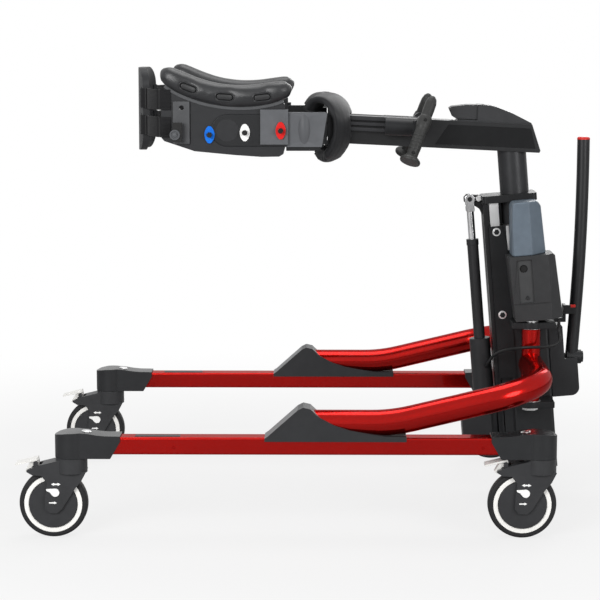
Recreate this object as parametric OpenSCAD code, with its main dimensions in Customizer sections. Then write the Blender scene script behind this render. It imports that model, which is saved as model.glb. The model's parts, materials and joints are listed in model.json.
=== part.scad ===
// Gait trainer with a powered lifting arm, a spreading caster base and a chest prompt.
// Millimetres, +Z up, floor at Z 0. The user stands at -X facing the mast at +X; the user's right is -Y.

/* [Casters] */
// Wheel diameter over the tread
wheel_d = 125; // [110:1:140]
// Tread width
tyre_w = 26; // [22:1:32]
// Distance of the axle behind the swivel axis
caster_trail = 33; // [28:1:38]
// Diameter of the swivel head
head_d = 58; // [52:1:64]

/* [Base] */
// Distance between the centre planes of the two legs
track_w = 700; // [640:1:760]
// Distance between the front and rear swivel axes
wheel_base = 855; // [800:1:920]
// Rail width
rail_w = 38; // [32:1:44]
// Rail height
rail_h = 32; // [28:1:36]
// Leg tube diameter
leg_tube_d = 48; // [42:1:52]
// Bend radius where the leg tube turns in to its pivot
leg_bend_r = 100; // [80:1:120]
// Distance between the two pivot pins
pivot_w = 180; // [172:1:200]
// Length of a pivot sleeve
sleeve_l = 140; // [120:1:150]

/* [Mast] */
// Lean of the mast toward the user, degrees
mast_lean = 4.8; // [2:0.1:7]
// Depth of the fixed mast tube, front to back
mast_d = 78; // [72:1:84]
// Width of the fixed mast tube
mast_w = 76; // [72:1:80]
// Height of the mast tube's top, along the mast
mast_top = 545; // [530:1:560]
// Diameter of the lifting post
post_d = 56; // [50:1:58]
// Gap between the mast tube's top and the lift head at rest
lift_gap = 45; // [42:1:60]
// Diameter of the actuator rod
rod_d = 14; // [12:0.5:16]
// Diameter of the spreader lever tube
lever_d = 24.5; // [20:0.5:26]
// Height of the spreader lever's top
lever_h = 707; // [640:1:760]

/* [Power] */
// Height of the control box along the mast
box_h = 126; // [110:1:140]
// Depth of the control box out from the mast's side
box_d = 74; // [60:1:90]
// Height of the battery along the mast
battery_h = 103; // [80:1:110]

/* [Arm] */
// Length of the arm beam ahead of the mast
arm_l = 356; // [330:1:400]
// Height of the arm beam
arm_h = 54; // [48:1:60]
// Width of the arm beam
arm_w = 66; // [62:1:74]
// Rise of the arm toward the user, degrees
arm_rise = 2.75; // [0:0.25:5]
// Tilt of the handholds, degrees
grip_tilt = 21; // [0:1:35]
// Outward lean of the handholds' lower ends, degrees
grip_splay = 22; // [0:1:24]

/* [Prompt] */
// Distance between the centre planes of the two side shells
prompt_w = 344; // [320:1:380]
// Thickness of a side shell
shell_t = 15; // [12:1:18]
// Height of a side pad's roll
pad_h = 44; // [38:1:50]
// Thickness of a side pad across
pad_t = 50; // [42:1:56]
// Width of the strap webbing
strap_w = 38; // [32:1:40]
// Radius of a strap stud's post
stud_r = 5; // [4:0.5:6]

/* [Hidden] */
$fn = 48;
run = 0.05;    // radial running fit
leg_y = track_w / 2;
rear_x = wheel_base / 2 - 11.5;
front_x = rear_x - wheel_base;
pivot_x = rear_x + 6;
// levels set by the wheel
wheel_r = wheel_d / 2;
head_z = wheel_d + 23;
rail_z0 = head_z + 7;
rail_z1 = rail_z0 + rail_h;
rim_r = wheel_r - 9.5;
guard_r = rim_r - 8.5;
axle_r = 6;
stem_r = 6;
stem_l = 36;
cheek_y = tyre_w / 2 + 2;
cheek_t = 6;
// leg tube route, drawn for the right leg and mirrored for the left
tube_r = leg_tube_d / 2;
tube_z = rail_z1 + tube_r + 0.2;
tube_x0 = -30;
rise_x = 128;
rise = 13.4;
rise_r = 150;
in_x = pivot_x - leg_bend_r * cos(rise);
rise_x1 = rise_x + rise_r * sin(rise);
rise_z1 = tube_z + rise_r * (1 - cos(rise));
in_z = rise_z1 + (in_x - rise_x1) * tan(rise);
pivot_z = in_z + leg_bend_r * sin(rise);
sleeve_r = 18;
pin_r = 10;
sleeve_z0 = pivot_z - sleeve_l / 2;
sleeve_z1 = pivot_z + sleeve_l / 2;
// mast, in its own leaning frame: x forward is negative, z along the mast
mast_x0 = -34;
mast_x1 = mast_x0 + mast_d;
mast_y = mast_w / 2;
foot_z = 60;
post_r = post_d / 2;
bush_t = 2;
head_plate_z = mast_top + lift_gap;
head_plate_t = 14;
slide_y = 30;
rod_r = rod_d / 2;
rod_x = -89;
eye_z = head_plate_z + 9;
act_top = head_plate_z - 70;
guide_bolt_z = [mast_top - 11, mast_top - 174];
box_z0 = sleeve_z1 + 17;
box_z1 = box_z0 + box_h;
box_y0 = mast_y;
box_y1 = mast_y + box_d;
// spreader lever pivot
hub_z = pivot_z + 1;
hub_r = 14;
hub_x = pivot_x + 78;
lever_x = hub_x + 10;
// arm frame at the top of the post
arm_z = head_plate_z + 95;
arm_x = pivot_x - (arm_z - pivot_z) * tan(mast_lean);
// prompt frame at the front end of the arm
prompt_x = arm_x - arm_l * cos(arm_rise) - 14;
prompt_z = arm_z + arm_l * sin(arm_rise) + 33;
prompt_y = prompt_w / 2;
knuckle_y = prompt_y - 24;
bar_t = 14;
shell_out = prompt_y + shell_t / 2;
strap_t = 2.4;

// Placing helpers
module at_mast() {
    translate([pivot_x, 0, pivot_z])
        rotate([0, -mast_lean, 0])
            translate([0, 0, -pivot_z])
                children();
}

module at_arm() {
    translate([arm_x, 0, arm_z])
        rotate([0, arm_rise, 0])
            children();
}

module at_prompt() {
    translate([prompt_x, 0, prompt_z])
        children();
}

module left_of() {
    mirror([0, 1, 0])
        children();
}

// A side outline in X and Z, given its depth between two Y values
module slab(y0, y1, points) {
    translate([0, y1, 0])
        rotate([90, 0, 0])
            linear_extrude(height = y1 - y0)
                polygon(points);
}

module block(low, high) {
    translate(low)
        cube(high - low);
}

// A bar along X with its four long edges rounded
module round_bar(x0, x1, w, z0, z1, r) {
    block([x0, -w / 2 + r, z0], [x1, w / 2 - r, z1]);
    block([x0, -w / 2, z0 + r], [x1, w / 2, z1 - r]);
    for (y = [-w / 2 + r, w / 2 - r], z = [z0 + r, z1 - r])
        translate([x0, y, z])
            rotate([0, 90, 0])
                cylinder(r = r, h = x1 - x0);
}

// A post with its four upright edges rounded
module round_post(x0, x1, w, z0, z1, r) {
    block([x0 + r, -w / 2, z0], [x1 - r, w / 2, z1]);
    block([x0, -w / 2 + r, z0], [x1, w / 2 - r, z1]);
    for (x = [x0 + r, x1 - r], y = [-w / 2 + r, w / 2 - r])
        translate([x, y, z0])
            cylinder(r = r, h = z1 - z0);
}

// Skin over a row of rings, each with the same number of points, closed at both ends
module skin(rings) {
    n = len(rings[0]);
    m = len(rings);
    mid0 = [for (k = [0:2]) ring_mean(rings[0], k)];
    mid1 = [for (k = [0:2]) ring_mean(rings[m - 1], k)];
    points = concat([for (ring = rings) for (p = ring) p], [mid0, mid1]);
    sides = [for (i = [0:m - 2]) for (j = [0:n - 1]) each [
        [i * n + j, (i + 1) * n + j, (i + 1) * n + (j + 1) % n],
        [i * n + j, (i + 1) * n + (j + 1) % n, i * n + (j + 1) % n]
    ]];
    first = [for (j = [0:n - 1]) [m * n, j, (j + 1) % n]];
    last = [for (j = [0:n - 1]) [m * n + 1, (m - 1) * n + (j + 1) % n, (m - 1) * n + j]];
    polyhedron(points = points, faces = concat(sides, first, last), convexity = 6);
}

function ring_mean(ring, k) = sum_of([for (p = ring) p[k]]) / len(ring);
function sum_of(v, i = 0) = i >= len(v) ? 0 : v[i] + sum_of(v, i + 1);

// Round tube through points, its rings turned so that one side faces up
function unit(v) = v / norm(v);
function route_dir(pts, i) = unit(pts[min(i + 1, len(pts) - 1)] - pts[max(i - 1, 0)]);
function side_dir(t) = unit(cross([0.02, 0.03, 1], t));
function route_ring(p, t, r, n) = [
    for (j = [0:n - 1])
        p + r * cos(360 * j / n) * side_dir(t) + r * sin(360 * j / n) * cross(t, side_dir(t))
];
module route_tube(pts, r, n) {
    skin([for (i = [0:len(pts) - 1]) route_ring(pts[i], route_dir(pts, i), r, n)]);
}

// Smooth curve through four control points
function bow(a, b, c, d, t) =
    a * pow(1 - t, 3) + 3 * b * t * pow(1 - t, 2) + 3 * c * t * t * (1 - t) + d * pow(t, 3);

// Casters, drawn about the swivel axis with the wheel trailing to -X
module fork_shape() {
    color("#2a2a2c")
        difference() {
            union() {
                difference() {
                    union() {
                        translate([0, 0, head_z - 28])
                            cylinder(d = head_d, h = 27.5);
                        slab(-cheek_y - cheek_t, cheek_y + cheek_t, visor_outline());
                        for (m = [0, 1])
                            mirror([0, m, 0])
                                slab(cheek_y, cheek_y + cheek_t, cheek_outline());
                    }
                    translate([-caster_trail, -cheek_y, wheel_r])
                        rotate([-90, 0, 0])
                            cylinder(r = wheel_r + 2.5, h = 2 * cheek_y);
                    block([-caster_trail - 75, -11.5, 0], [-caster_trail - 20, 11.5, head_z + 20]);
                }
                translate([0, 0, head_z - 2])
                    cylinder(r = stem_r, h = stem_l + 2);
                for (m = [0, 1])
                    mirror([0, m, 0])
                        translate([-caster_trail, 6, wheel_r])
                            rotate([-90, 0, 0])
                                cylinder(r = guard_r - 0.8, h = cheek_y - 5.5);
                translate([-caster_trail, -cheek_y - cheek_t, wheel_r])
                    rotate([-90, 0, 0])
                        cylinder(r = axle_r, h = 2 * (cheek_y + cheek_t));
                pedal_ears();
            }
            for (m = [0, 1])
                mirror([0, m, 0])
                    translate([-caster_trail, 4, wheel_r])
                        rotate([-90, 0, 0])
                            difference() {
                                cylinder(r = 14, h = 5);
                                cylinder(r = axle_r, h = 5);
                            }
        }
}

function visor_outline() = let (t = -caster_trail, z = head_z) [
    [t - 47, z - 22], [t - 25, z - 13], [t + 8, z - 5], [0, z - 0.5], [0, z - 30],
    [t - 21, z - 32], [t - 37, z - 31], [t - 47, z - 25]
];
function cheek_outline() = let (t = -caster_trail, z = head_z, r = head_d / 2 - 1) [
    [r, z - 25], [r - 9, z - 43], [r - 21, z - 57], [t + 17, wheel_r - 8], [t + 8, wheel_r - 16],
    [t - 6, wheel_r - 16], [t - 14, wheel_r - 7], [t - 14, wheel_r + 12], [t - 10, z - 46],
    [t - 21, z - 31], [t - 25, z - 24]
];

pedal_px = -caster_trail - 31;
pedal_pz = head_z - 10;
module pedal_ears() {
    for (m = [0, 1])
        mirror([0, m, 0]) {
            translate([pedal_px, 11.5, pedal_pz])
                rotate([-90, 0, 0])
                    cylinder(r = 4, h = 5);
            block([pedal_px - 4, 11.5, pedal_pz - 12], [pedal_px + 4, 16.5, pedal_pz]);
        }
    translate([pedal_px, -14, pedal_pz])
        rotate([-90, 0, 0])
            cylinder(r = 2.5, h = 28);
}

module pedal_shape() {
    color("#d5d2ca")
        difference() {
            union() {
                slab(-15, 15, [
                    [pedal_px + 3, pedal_pz + 9], [pedal_px - 37, pedal_pz - 1],
                    [pedal_px - 38, pedal_pz - 4.2], [pedal_px + 3, pedal_pz + 5]
                ]);
                slab(-10, 10, [
                    [pedal_px + 4.5, pedal_pz + 6], [pedal_px - 9, pedal_pz + 4],
                    [pedal_px - 20, pedal_pz - 15], [pedal_px - 16, pedal_pz - 18],
                    [pedal_px - 6, pedal_pz - 6], [pedal_px + 4.5, pedal_pz - 5]
                ]);
            }
            translate([pedal_px, -20, pedal_pz])
                rotate([-90, 0, 0])
                    cylinder(r = 2.5 + run, h = 40);
        }
}

module tyre_shape() {
    h = tyre_w / 2;
    color("#1f1f21")
        translate([-caster_trail, 0, wheel_r])
            rotate([90, 0, 0])
                rotate_extrude()
                    polygon([
                        [rim_r, -h], [wheel_r - 5, -h], [wheel_r - 2, -h + 1.5], [wheel_r - 0.6, -h + 4],
                        [wheel_r, -h + 7], [wheel_r, h - 7], [wheel_r - 0.6, h - 4],
                        [wheel_r - 2, h - 1.5], [wheel_r - 5, h], [rim_r, h]
                    ]);
}

module core_shape() {
    h = tyre_w / 2;
    color("#e9e7e0")
        translate([-caster_trail, 0, wheel_r])
            rotate([90, 0, 0])
                rotate_extrude()
                    polygon([
                        [axle_r + run, -8.5], [12, -8.5], [12, -5], [guard_r, -5], [guard_r, -h],
                        [rim_r, -h], [rim_r, h], [guard_r, h], [guard_r, 5], [12, 5], [12, 8.5],
                        [axle_r + run, 8.5]
                    ]);
}

module at_caster(front, s) {
    translate([front ? front_x : rear_x, s * leg_y, 0])
        children();
}

// Legs, drawn for the right side
module rail_shape() {
    color("#9c1612")
        translate([0, -leg_y, 0])
            difference() {
                round_bar(front_x + 36, rear_x - 36, rail_w, rail_z0, rail_z1, 4);
                block([front_x, -rail_w / 2 + 2.5, rail_z0 + 2.5], [rear_x, rail_w / 2 - 2.5, rail_z1 - 2.5]);
            }
}

module housing_shape() {
    w = rail_w + 10;
    top = rail_z1;
    difference() {
        intersection() {
            union() {
                translate([0, 0, head_z])
                    cylinder(d = head_d + 1, h = rail_h + 30);
                block([0, -w / 2, head_z], [97, w / 2, head_z + rail_h + 30]);
            }
            slab(-40, 40, [
                [-31, head_z + 3], [-28, head_z], [73, head_z], [91, top - 8], [91, top + 2.5],
                [64, top + 3], [48, top + 4.5], [30, top + 7.5], [14, top + 8.5], [-6, top + 8],
                [-22, top + 5.5], [-31, top + 2.5]
            ]);
        }
        translate([0, 0, head_z - 1])
            cylinder(r = stem_r + run, h = stem_l + 3);
        block([36, -rail_w / 2, rail_z0], [120, rail_w / 2, rail_z1]);
    }
}

module housings_shape() {
    color("#2d2d2f") {
        translate([front_x, -leg_y, 0])
            housing_shape();
        translate([rear_x, -leg_y, 0])
            mirror([1, 0, 0])
                housing_shape();
    }
}

module gusset_shape() {
    z = rail_z1;
    w = leg_tube_d + 6;
    color("#3a3b3d")
        translate([0, -leg_y, 0])
            difference() {
                slab(-w / 2, w / 2, [
                    [-86, z - 6], [171, z - 6], [171, z + 3.5], [132, z + 4], [105, z + 8], [68, z + 15],
                    [41, z + 24], [14, z + 38], [-3, z + leg_tube_d + 6], [-16, z + leg_tube_d + 9],
                    [-26, z + leg_tube_d + 4], [-80, z + 4], [-86, z]
                ]);
                block([-200, -rail_w / 2, z - 20], [200, rail_w / 2, z]);
                translate([tube_x0 - 0.2, 0, tube_z])
                    rotate([0, 90, 0])
                        cylinder(r = tube_r + 0.2, h = 300);
            }
}

// Leg tube route: along the rail, a gentle rise, then a turn in to the pivot sleeve
up_rise = [-sin(rise), 0, cos(rise)];
fwd_rise = [cos(rise), 0, sin(rise)];
tube_rings = concat(
    [for (x = [tube_x0, tube_x0 + 60, rise_x]) tube_ring([x, -leg_y, tube_z], [0, 1, 0], [0, 0, 1])],
    [for (a = [1:3]) let (b = rise * a / 3)
        tube_ring([rise_x + rise_r * sin(b), -leg_y, tube_z + rise_r * (1 - cos(b))],
            [0, 1, 0], [-sin(b), 0, cos(b)])],
    [for (a = [0:9]) let (b = a * 10)
        tube_ring([in_x, -leg_y + leg_bend_r, in_z] + leg_bend_r * (sin(b) * fwd_rise - cos(b) * [0, 1, 0]),
            cos(b) * [0, 1, 0] - sin(b) * fwd_rise, up_rise)],
    [tube_ring([pivot_x, -pivot_w / 2 - 4, pivot_z], -fwd_rise, up_rise)]
);
function tube_ring(p, v, u) = [
    for (j = [0:23]) p + tube_r * (cos(15 * j) * v + sin(15 * j) * u)
];

module leg_tube_shape() {
    color("#9c1612")
        difference() {
            union() {
                skin(tube_rings);
                translate([pivot_x, -pivot_w / 2, sleeve_z0])
                    cylinder(r = sleeve_r, h = sleeve_l);
            }
            translate([pivot_x, -pivot_w / 2, sleeve_z0 - 1])
                cylinder(r = pin_r + run, h = sleeve_l + 2);
        }
}

// Mast and base
module mast_tube() {
    color("#2b2c2e")
        at_mast()
            difference() {
                union() {
                    round_post(mast_x0, mast_x1, mast_w, foot_z, mast_top, 6);
                    block([mast_x0 - 19, -slide_y, foot_z], [mast_x0 + 8, slide_y, 250]);
                    for (m = [0, 1])
                        mirror([0, m, 0])
                            block([rod_x - 12, mast_y - 1, 92], [mast_x0 + 30, mast_y + 4, 116]);
                    translate([rod_x, -mast_y - 2, 104])
                        rotate([-90, 0, 0])
                            cylinder(r = 5, h = mast_w + 4);
                }
                translate([0, 0, foot_z + 90])
                    cylinder(r = post_r + bush_t, h = mast_top);
                key_slot();
            }
}

// Slot that the post's key runs in
module key_slot() {
    block([mast_x0 - 1, -5, 254], [-post_r + 2, 5, mast_top + 1]);
}

module guide_plates() {
    color("#39393b")
        at_mast()
            for (m = [0, 1])
                mirror([0, m, 0])
                    difference() {
                        slab(mast_y, mast_y + 5, [
                            [mast_x0 - 24, mast_top - 300], [mast_x0 + 9, mast_top - 300],
                            [mast_x0 + 9, mast_top - 40], [mast_x0 + 2, mast_top],
                            [mast_x0 - 24, mast_top]
                        ]);
                        for (z = guide_bolt_z)
                            translate([mast_x0 - 10, 0, z])
                                rotate([-90, 0, 0])
                                    cylinder(r = 4.1, h = 60);
                    }
}

module guide_glides() {
    color("#d9d8d2")
        at_mast() {
            for (m = [0, 1], z = guide_bolt_z)
                mirror([0, m, 0])
                    difference() {
                        block([mast_x0 - 18, slide_y + 0.1, z - 10], [mast_x0 - 2, mast_y, z + 10]);
                        translate([mast_x0 - 10, 0, z])
                            rotate([-90, 0, 0])
                                cylinder(r = 4.1, h = 60);
                    }
            difference() {
                for (z = [mast_top - 30, mast_top - 80])
                    translate([0, 0, z])
                        cylinder(r = post_r + bush_t, h = 30);
                translate([0, 0, mast_top - 90])
                    cylinder(r = post_r + run, h = 100);
                key_slot();
            }
        }
}

module pivot_plates() {
    y = pivot_w / 2;
    color("#2f3032") {
        difference() {
            union() {
                for (z = [sleeve_z1 + 1.2, sleeve_z0 - 13.2]) {
                    block([pivot_x - 22, -mast_y - 22, z], [pivot_x + 46, mast_y + 22, z + 12]);
                    block([pivot_x - 14, -y, z], [pivot_x + 24, y, z + 12]);
                    for (s = [-1, 1])
                        block([pivot_x - 38, s * (y - 13) - 31, z], [pivot_x + 46, s * (y - 13) + 31, z + 12]);
                    for (s = [-1, 1])
                        translate([pivot_x, s * y, z])
                            cylinder(r = 24, h = 12);
                }
                // keeper that holds the lever upright
                block([pivot_x + 20, -12, sleeve_z1 + 1.2], [hub_x - 2, 12, sleeve_z1 + 9.2]);
                block([hub_x - 8, -12, sleeve_z1 + 1.2], [hub_x - 2, 12, sleeve_z1 + 36]);
                block([hub_x - 8, -20, sleeve_z1 + 18], [lever_x + 5, -15, sleeve_z1 + 36]);
                block([hub_x - 8, -16, sleeve_z1 + 18], [hub_x - 2, -10, sleeve_z1 + 36]);
            }
            at_mast() {
                    block([mast_x0, -mast_y, foot_z], [mast_x1, mast_y, mast_top]);
                    block([mast_x0 - 20, -slide_y, foot_z], [mast_x0 + 8, slide_y, 250]);
            }
            for (s = [-1, 1])
                translate([pivot_x, s * y, foot_z])
                    cylinder(r = pin_r + run, h = 400);
        }
    }
}

module guide_bolt_set() {
    color("#c9cacc")
        at_mast()
            for (m = [0, 1], z = guide_bolt_z)
                mirror([0, m, 0])
                    translate([mast_x0 - 10, 0, z])
                        rotate([-90, 0, 0]) {
                            translate([0, 0, slide_y + 3])
                                cylinder(r = 4, h = mast_y - slide_y + 3);
                            translate([0, 0, mast_y + 5])
                                cylinder(r = 8, h = 2);
                            translate([0, 0, mast_y + 6])
                                cylinder(r = 5.5, h = 5, $fn = 6);
                        }
}

module pivot_pin_set() {
    color("#cfd0d2")
        for (s = [-1, 1])
            translate([pivot_x, s * pivot_w / 2, 0]) {
                translate([0, 0, sleeve_z0 - 18])
                    cylinder(r = pin_r, h = sleeve_l + 32);
                translate([0, 0, sleeve_z0 - 19])
                    cylinder(r = 15, h = 5.8, $fn = 6);
                translate([0, 0, sleeve_z1 + 0.4])
                    cylinder(r = 21, h = 0.8);
                translate([0, 0, sleeve_z0 - 1.2])
                    cylinder(r = 21, h = 0.8);
                translate([0, 0, sleeve_z1 + 13.2])
                    cylinder(r = 13, h = 3);
            }
}

module mast_fasteners() {
    guide_bolt_set();
    pivot_pin_set();
}

module spreader_housing() {
    color("#303133") {
        difference() {
            union() {
                at_mast()
                    difference() {
                        union() {
                            block([mast_x1, -36, pivot_z - 62], [mast_x1 + 28, 36, sleeve_z1 - 10]);
                            block([mast_x1, -36, pivot_z - 62], [mast_x1 + 53, 36, pivot_z - 4]);
                            translate([mast_x1 + 37, -36, pivot_z - 62])
                                rotate([-90, 0, 0])
                                    cylinder(r = 16, h = 72);
                            block([mast_x1, -36, pivot_z - 78], [mast_x1 + 37, 36, pivot_z - 60]);
                        }
                        translate([0, 0, pivot_z])
                            rotate([0, mast_lean, 0])
                                translate([hub_x - pivot_x - 5, 0, hub_z - pivot_z])
                                    rotate([0, 90, 0])
                                        cylinder(r = 29, h = 60);
                    }
                translate([hub_x - 14, 0, hub_z])
                    rotate([0, 90, 0])
                        cylinder(r = 7, h = 48);
                translate([hub_x + 31, 0, hub_z])
                    rotate([0, 90, 0])
                        cylinder(r = 11, h = 3);
            }
        }
    }
}

lever_route = [for (t = [0:0.1:1])
    bow([lever_x, 0, hub_z - 20], [lever_x + 8, 0, hub_z + 110], [lever_x + 18, 0, hub_z + 200],
        [lever_x + 18, 0, lever_h], t)];
module spreader_lever() {
    color("#26272a")
        difference() {
            union() {
                route_tube(lever_route, lever_d / 2, 20);
                translate([hub_x + 0.5, 0, hub_z])
                    rotate([0, 90, 0])
                        cylinder(r = hub_r, h = 30);
            }
            translate([hub_x - 2, 0, hub_z])
                rotate([0, 90, 0])
                    cylinder(r = 7 + run, h = 40);
        }
    color("#b3221c")
        translate([lever_x + 18, 0, lever_h])
            cylinder(r = lever_d / 2 + 0.4, h = 5);
}

// Lift actuator and power
module actuator_body() {
    color("#2a2a2c")
        at_mast()
            difference() {
                union() {
                    translate([rod_x, 0, 180])
                        cylinder(r = 20.5, h = act_top - 197 - 180);
                    translate([rod_x, 0, 200])
                        cylinder(r = rod_r + 4, h = act_top - 200);
                    translate([rod_x, 0, act_top - 12])
                        cylinder(r = rod_r + 5, h = 12);
                    block([rod_x - 48, -27, 118], [rod_x + 10, 27, 184]);
                    block([rod_x - 9, -12, 100], [rod_x + 9, 12, 120]);
                    translate([rod_x, -12, 104])
                        rotate([-90, 0, 0])
                            cylinder(r = 10, h = 24);
                }
                translate([rod_x, 0, 130])
                    cylinder(r = rod_r + run, h = 600);
                translate([rod_x, -20, 104])
                    rotate([-90, 0, 0])
                        cylinder(r = 5 + run, h = 40);
            }
}

module actuator_rod() {
    color("#d8dadc")
        at_mast()
            difference() {
                union() {
                    translate([rod_x, 0, act_top - 275])
                        cylinder(r = rod_r, h = eye_z - act_top + 257);
                    block([rod_x - 8, -14, eye_z - 24], [rod_x + 8, 14, eye_z - 14]);
                    for (m = [0, 1])
                        mirror([0, m, 0]) {
                            block([rod_x - 8, 8.6, eye_z - 16], [rod_x + 8, 14, eye_z]);
                            translate([rod_x, 8.6, eye_z])
                                rotate([-90, 0, 0])
                                    cylinder(r = 10, h = 5.4);
                        }
                }
                translate([rod_x, -20, eye_z])
                    rotate([-90, 0, 0])
                        cylinder(r = 4.1, h = 40);
            }
}

module control_box() {
    color("#313235")
        at_mast()
            difference() {
                intersection() {
                    slab(-box_y1, -box_y0, [
                        [-24, box_z0], [68, box_z0], [67, box_z0 + 30], [61, box_z1 - 4], [57, box_z1],
                        [-31, box_z1]
                    ]);
                    translate([0, 0, box_z0])
                        linear_extrude(height = box_h)
                            polygon([
                                [-24, -box_y0], [-24, -box_y0 - 7], [-31, -box_y0 - 7],
                                [-31, -box_y1 + 4], [-27, -box_y1], [46, -box_y1],
                                [70, -box_y1 + 26], [70, -box_y0]
                            ]);
                }
                // latch recess on the outer face
                block([-14, -box_y1 - 1, box_z0 + 36], [14, -box_y1 + 4, box_z1 - 8]);
                // seam round the lower cover
                block([-40, -box_y1 - 1, box_z0 + 32], [90, -box_y1 + 1.5, box_z0 + 34]);
            }
}

module battery() {
    y0 = box_y0 + 6;
    y1 = box_y1 - 3;
    color("#7d8892")
        at_mast()
            intersection() {
                translate([0, 0, box_z1])
                    linear_extrude(height = battery_h)
                        polygon([
                            [-22, -y0], [-22, -y1 + 5], [-17, -y1], [17, -y1], [45, -y1 + 26], [45, -y0]
                        ]);
                slab(-y1, -y0, [
                    [-22, box_z1], [45, box_z1], [41, box_z1 + battery_h - 10],
                    [34, box_z1 + battery_h], [-11, box_z1 + battery_h], [-16, box_z1 + battery_h - 6]
                ]);
            }
}

// Motor lead: from the box's underside, round the front of the right pivot sleeve, to the actuator
cable_y = pivot_w / 2 + 37;
cable_turn = [
    [pivot_x + 52, -box_y1 + 12, box_z0 + 2], [pivot_x + 53, -box_y1 + 11, box_z0 - 22],
    [pivot_x + 52, -cable_y + 10, box_z0 - 36], [pivot_x + 42, -cable_y + 4, box_z0 - 44],
    [pivot_x + 26, -cable_y, box_z0 - 47], [pivot_x + 8, -cable_y, box_z0 - 48],
    [pivot_x - 12, -cable_y + 3, box_z0 - 49], [pivot_x - 30, -cable_y + 12, box_z0 - 52],
    [pivot_x - 46, -cable_y + 26, box_z0 - 57], [pivot_x - 60, -cable_y + 46, box_z0 - 65],
    [pivot_x - 70, -cable_y + 68, box_z0 - 76], [pivot_x - 76, -cable_y + 88, box_z0 - 90],
    [pivot_x - 80, -21.4, box_z0 - 103]
];
module control_cable() {
    color("#202022")
        route_tube(cable_turn, 3, 10);
}

// Lifting parts
module lift_post() {
    color("#4a4b4d")
        at_mast()
            difference() {
                union() {
                    translate([0, 0, head_plate_z - 345])
                        cylinder(r = post_r, h = 345 + 130);
                    block([mast_x0 - 1, -4, head_plate_z - 290], [-post_r + 3, 4, head_plate_z]);
                }
                translate([0, 0, head_plate_z - 346])
                    cylinder(r = post_r - 4, h = 345 + 100);
            }
}

module lift_head() {
    color("#2c2d2f")
        at_mast()
            difference() {
                union() {
                    round_post(-66, 40, 80, head_plate_z, head_plate_z + head_plate_t, 8);
                    slab(-8, 8, [
                        [-60, head_plate_z + 13], [-60, head_plate_z + 0.5],
                        [-66.5, head_plate_z + 0.5], [-66.5, head_plate_z - 24],
                        [-71, head_plate_z - 12], [-80, head_plate_z - 5],
                        [rod_x - 6, eye_z - 10], [rod_x - 11, eye_z - 4],
                        [rod_x - 11, eye_z + 4], [rod_x - 5, eye_z + 10]
                    ]);
                    translate([rod_x + 17, -13, eye_z])
                        rotate([-90, 0, 0])
                            cylinder(r = 5, h = 26);
                    translate([rod_x, -17, eye_z])
                        rotate([-90, 0, 0])
                            cylinder(r = 4, h = 34);
                }
                translate([0, 0, head_plate_z - 1])
                    cylinder(r = post_r + 0.1, h = head_plate_t + 2);
            }
}

module lift_channel() {
    color("#28292b")
        at_mast()
            difference() {
                block([-66, -34, 118], [-54.5, 34, head_plate_z]);
                block([-70, -5, 125], [-61, 5, head_plate_z - 40]);
            }
}

module slide_bar() {
    color("#c4c6c8")
        at_mast()
            difference() {
                block([-54.5, -slide_y, 300], [mast_x0 - 1, slide_y, head_plate_z]);
                block([-50, -slide_y + 5, 290], [mast_x0 - 6, slide_y - 5, head_plate_z - 6]);
            }
}

// Arm
module arm_beam() {
    color("#333436")
        difference() {
            at_arm()
                difference() {
                    slab(-arm_w / 2, arm_w / 2, [
                        [-arm_l, 0], [51, 0], [53, 4], [34, arm_h], [-arm_l, arm_h]
                    ]);
                    for (s = [-1, 1])
                        slab(s * arm_w / 2 - 0.8, s * arm_w / 2 + 0.8, [
                            [-152, 7], [43, 7], [32, arm_h - 8], [-128, arm_h - 8]
                        ]);
                    block([-arm_l - 1, -arm_w / 2 + 5, 5], [-50, arm_w / 2 - 5, arm_h - 5]);
                }
            at_mast()
                translate([0, 0, head_plate_z])
                    cylinder(r = post_r + 0.1, h = 130.5);
        }
}

lid_x = -60;
lid_y = arm_w / 2 - 4;
module arm_cover() {
    color("#4c4d50")
        at_arm()
            difference() {
                union() {
                    slab(-lid_y, lid_y, [
                        [lid_x, arm_h], [lid_x + 94, arm_h], [lid_x + 92, arm_h + 3], [lid_x + 54, arm_h + 20],
                        [lid_x + 24, arm_h + 30], [lid_x + 12, arm_h + 32.5], [lid_x, arm_h + 33]
                    ]);
                    slab(-lid_y, lid_y, [
                        [lid_x - 52, arm_h], [lid_x + 1, arm_h], [lid_x + 1, arm_h + 3], [lid_x - 50, arm_h + 3]
                    ]);
                    for (s = [-1, 1])
                        block([lid_x - 12, s * (lid_y - 2) - 2, arm_h + 2], [lid_x + 1, s * (lid_y - 2) + 2, arm_h + 33]);
                    translate([lid_x - 5, -lid_y + 1, arm_h + 28])
                        rotate([-90, 0, 0])
                            cylinder(r = 2.5, h = 2 * lid_y - 2);
                }
            }
}

module release_lever() {
    color("#46474a")
        at_arm()
            difference() {
                slab(-lid_y + 4.5, lid_y - 4.5, [
                    [lid_x - 1.5, arm_h + 4], [lid_x - 1.5, arm_h + 30], [lid_x - 3, arm_h + 33],
                    [lid_x - 34, arm_h + 31.5], [lid_x - 62, arm_h + 27], [lid_x - 67, arm_h + 23],
                    [lid_x - 59, arm_h + 7], [lid_x - 52, arm_h + 4]
                ]);
                translate([lid_x - 5, -lid_y, arm_h + 28])
                    rotate([-90, 0, 0])
                        cylinder(r = 2.5 + run, h = 2 * lid_y);
                block([lid_x - 70, -lid_y + 9, arm_h + 2], [lid_x - 14, lid_y - 9, arm_h + 20]);
            }
}

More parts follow.
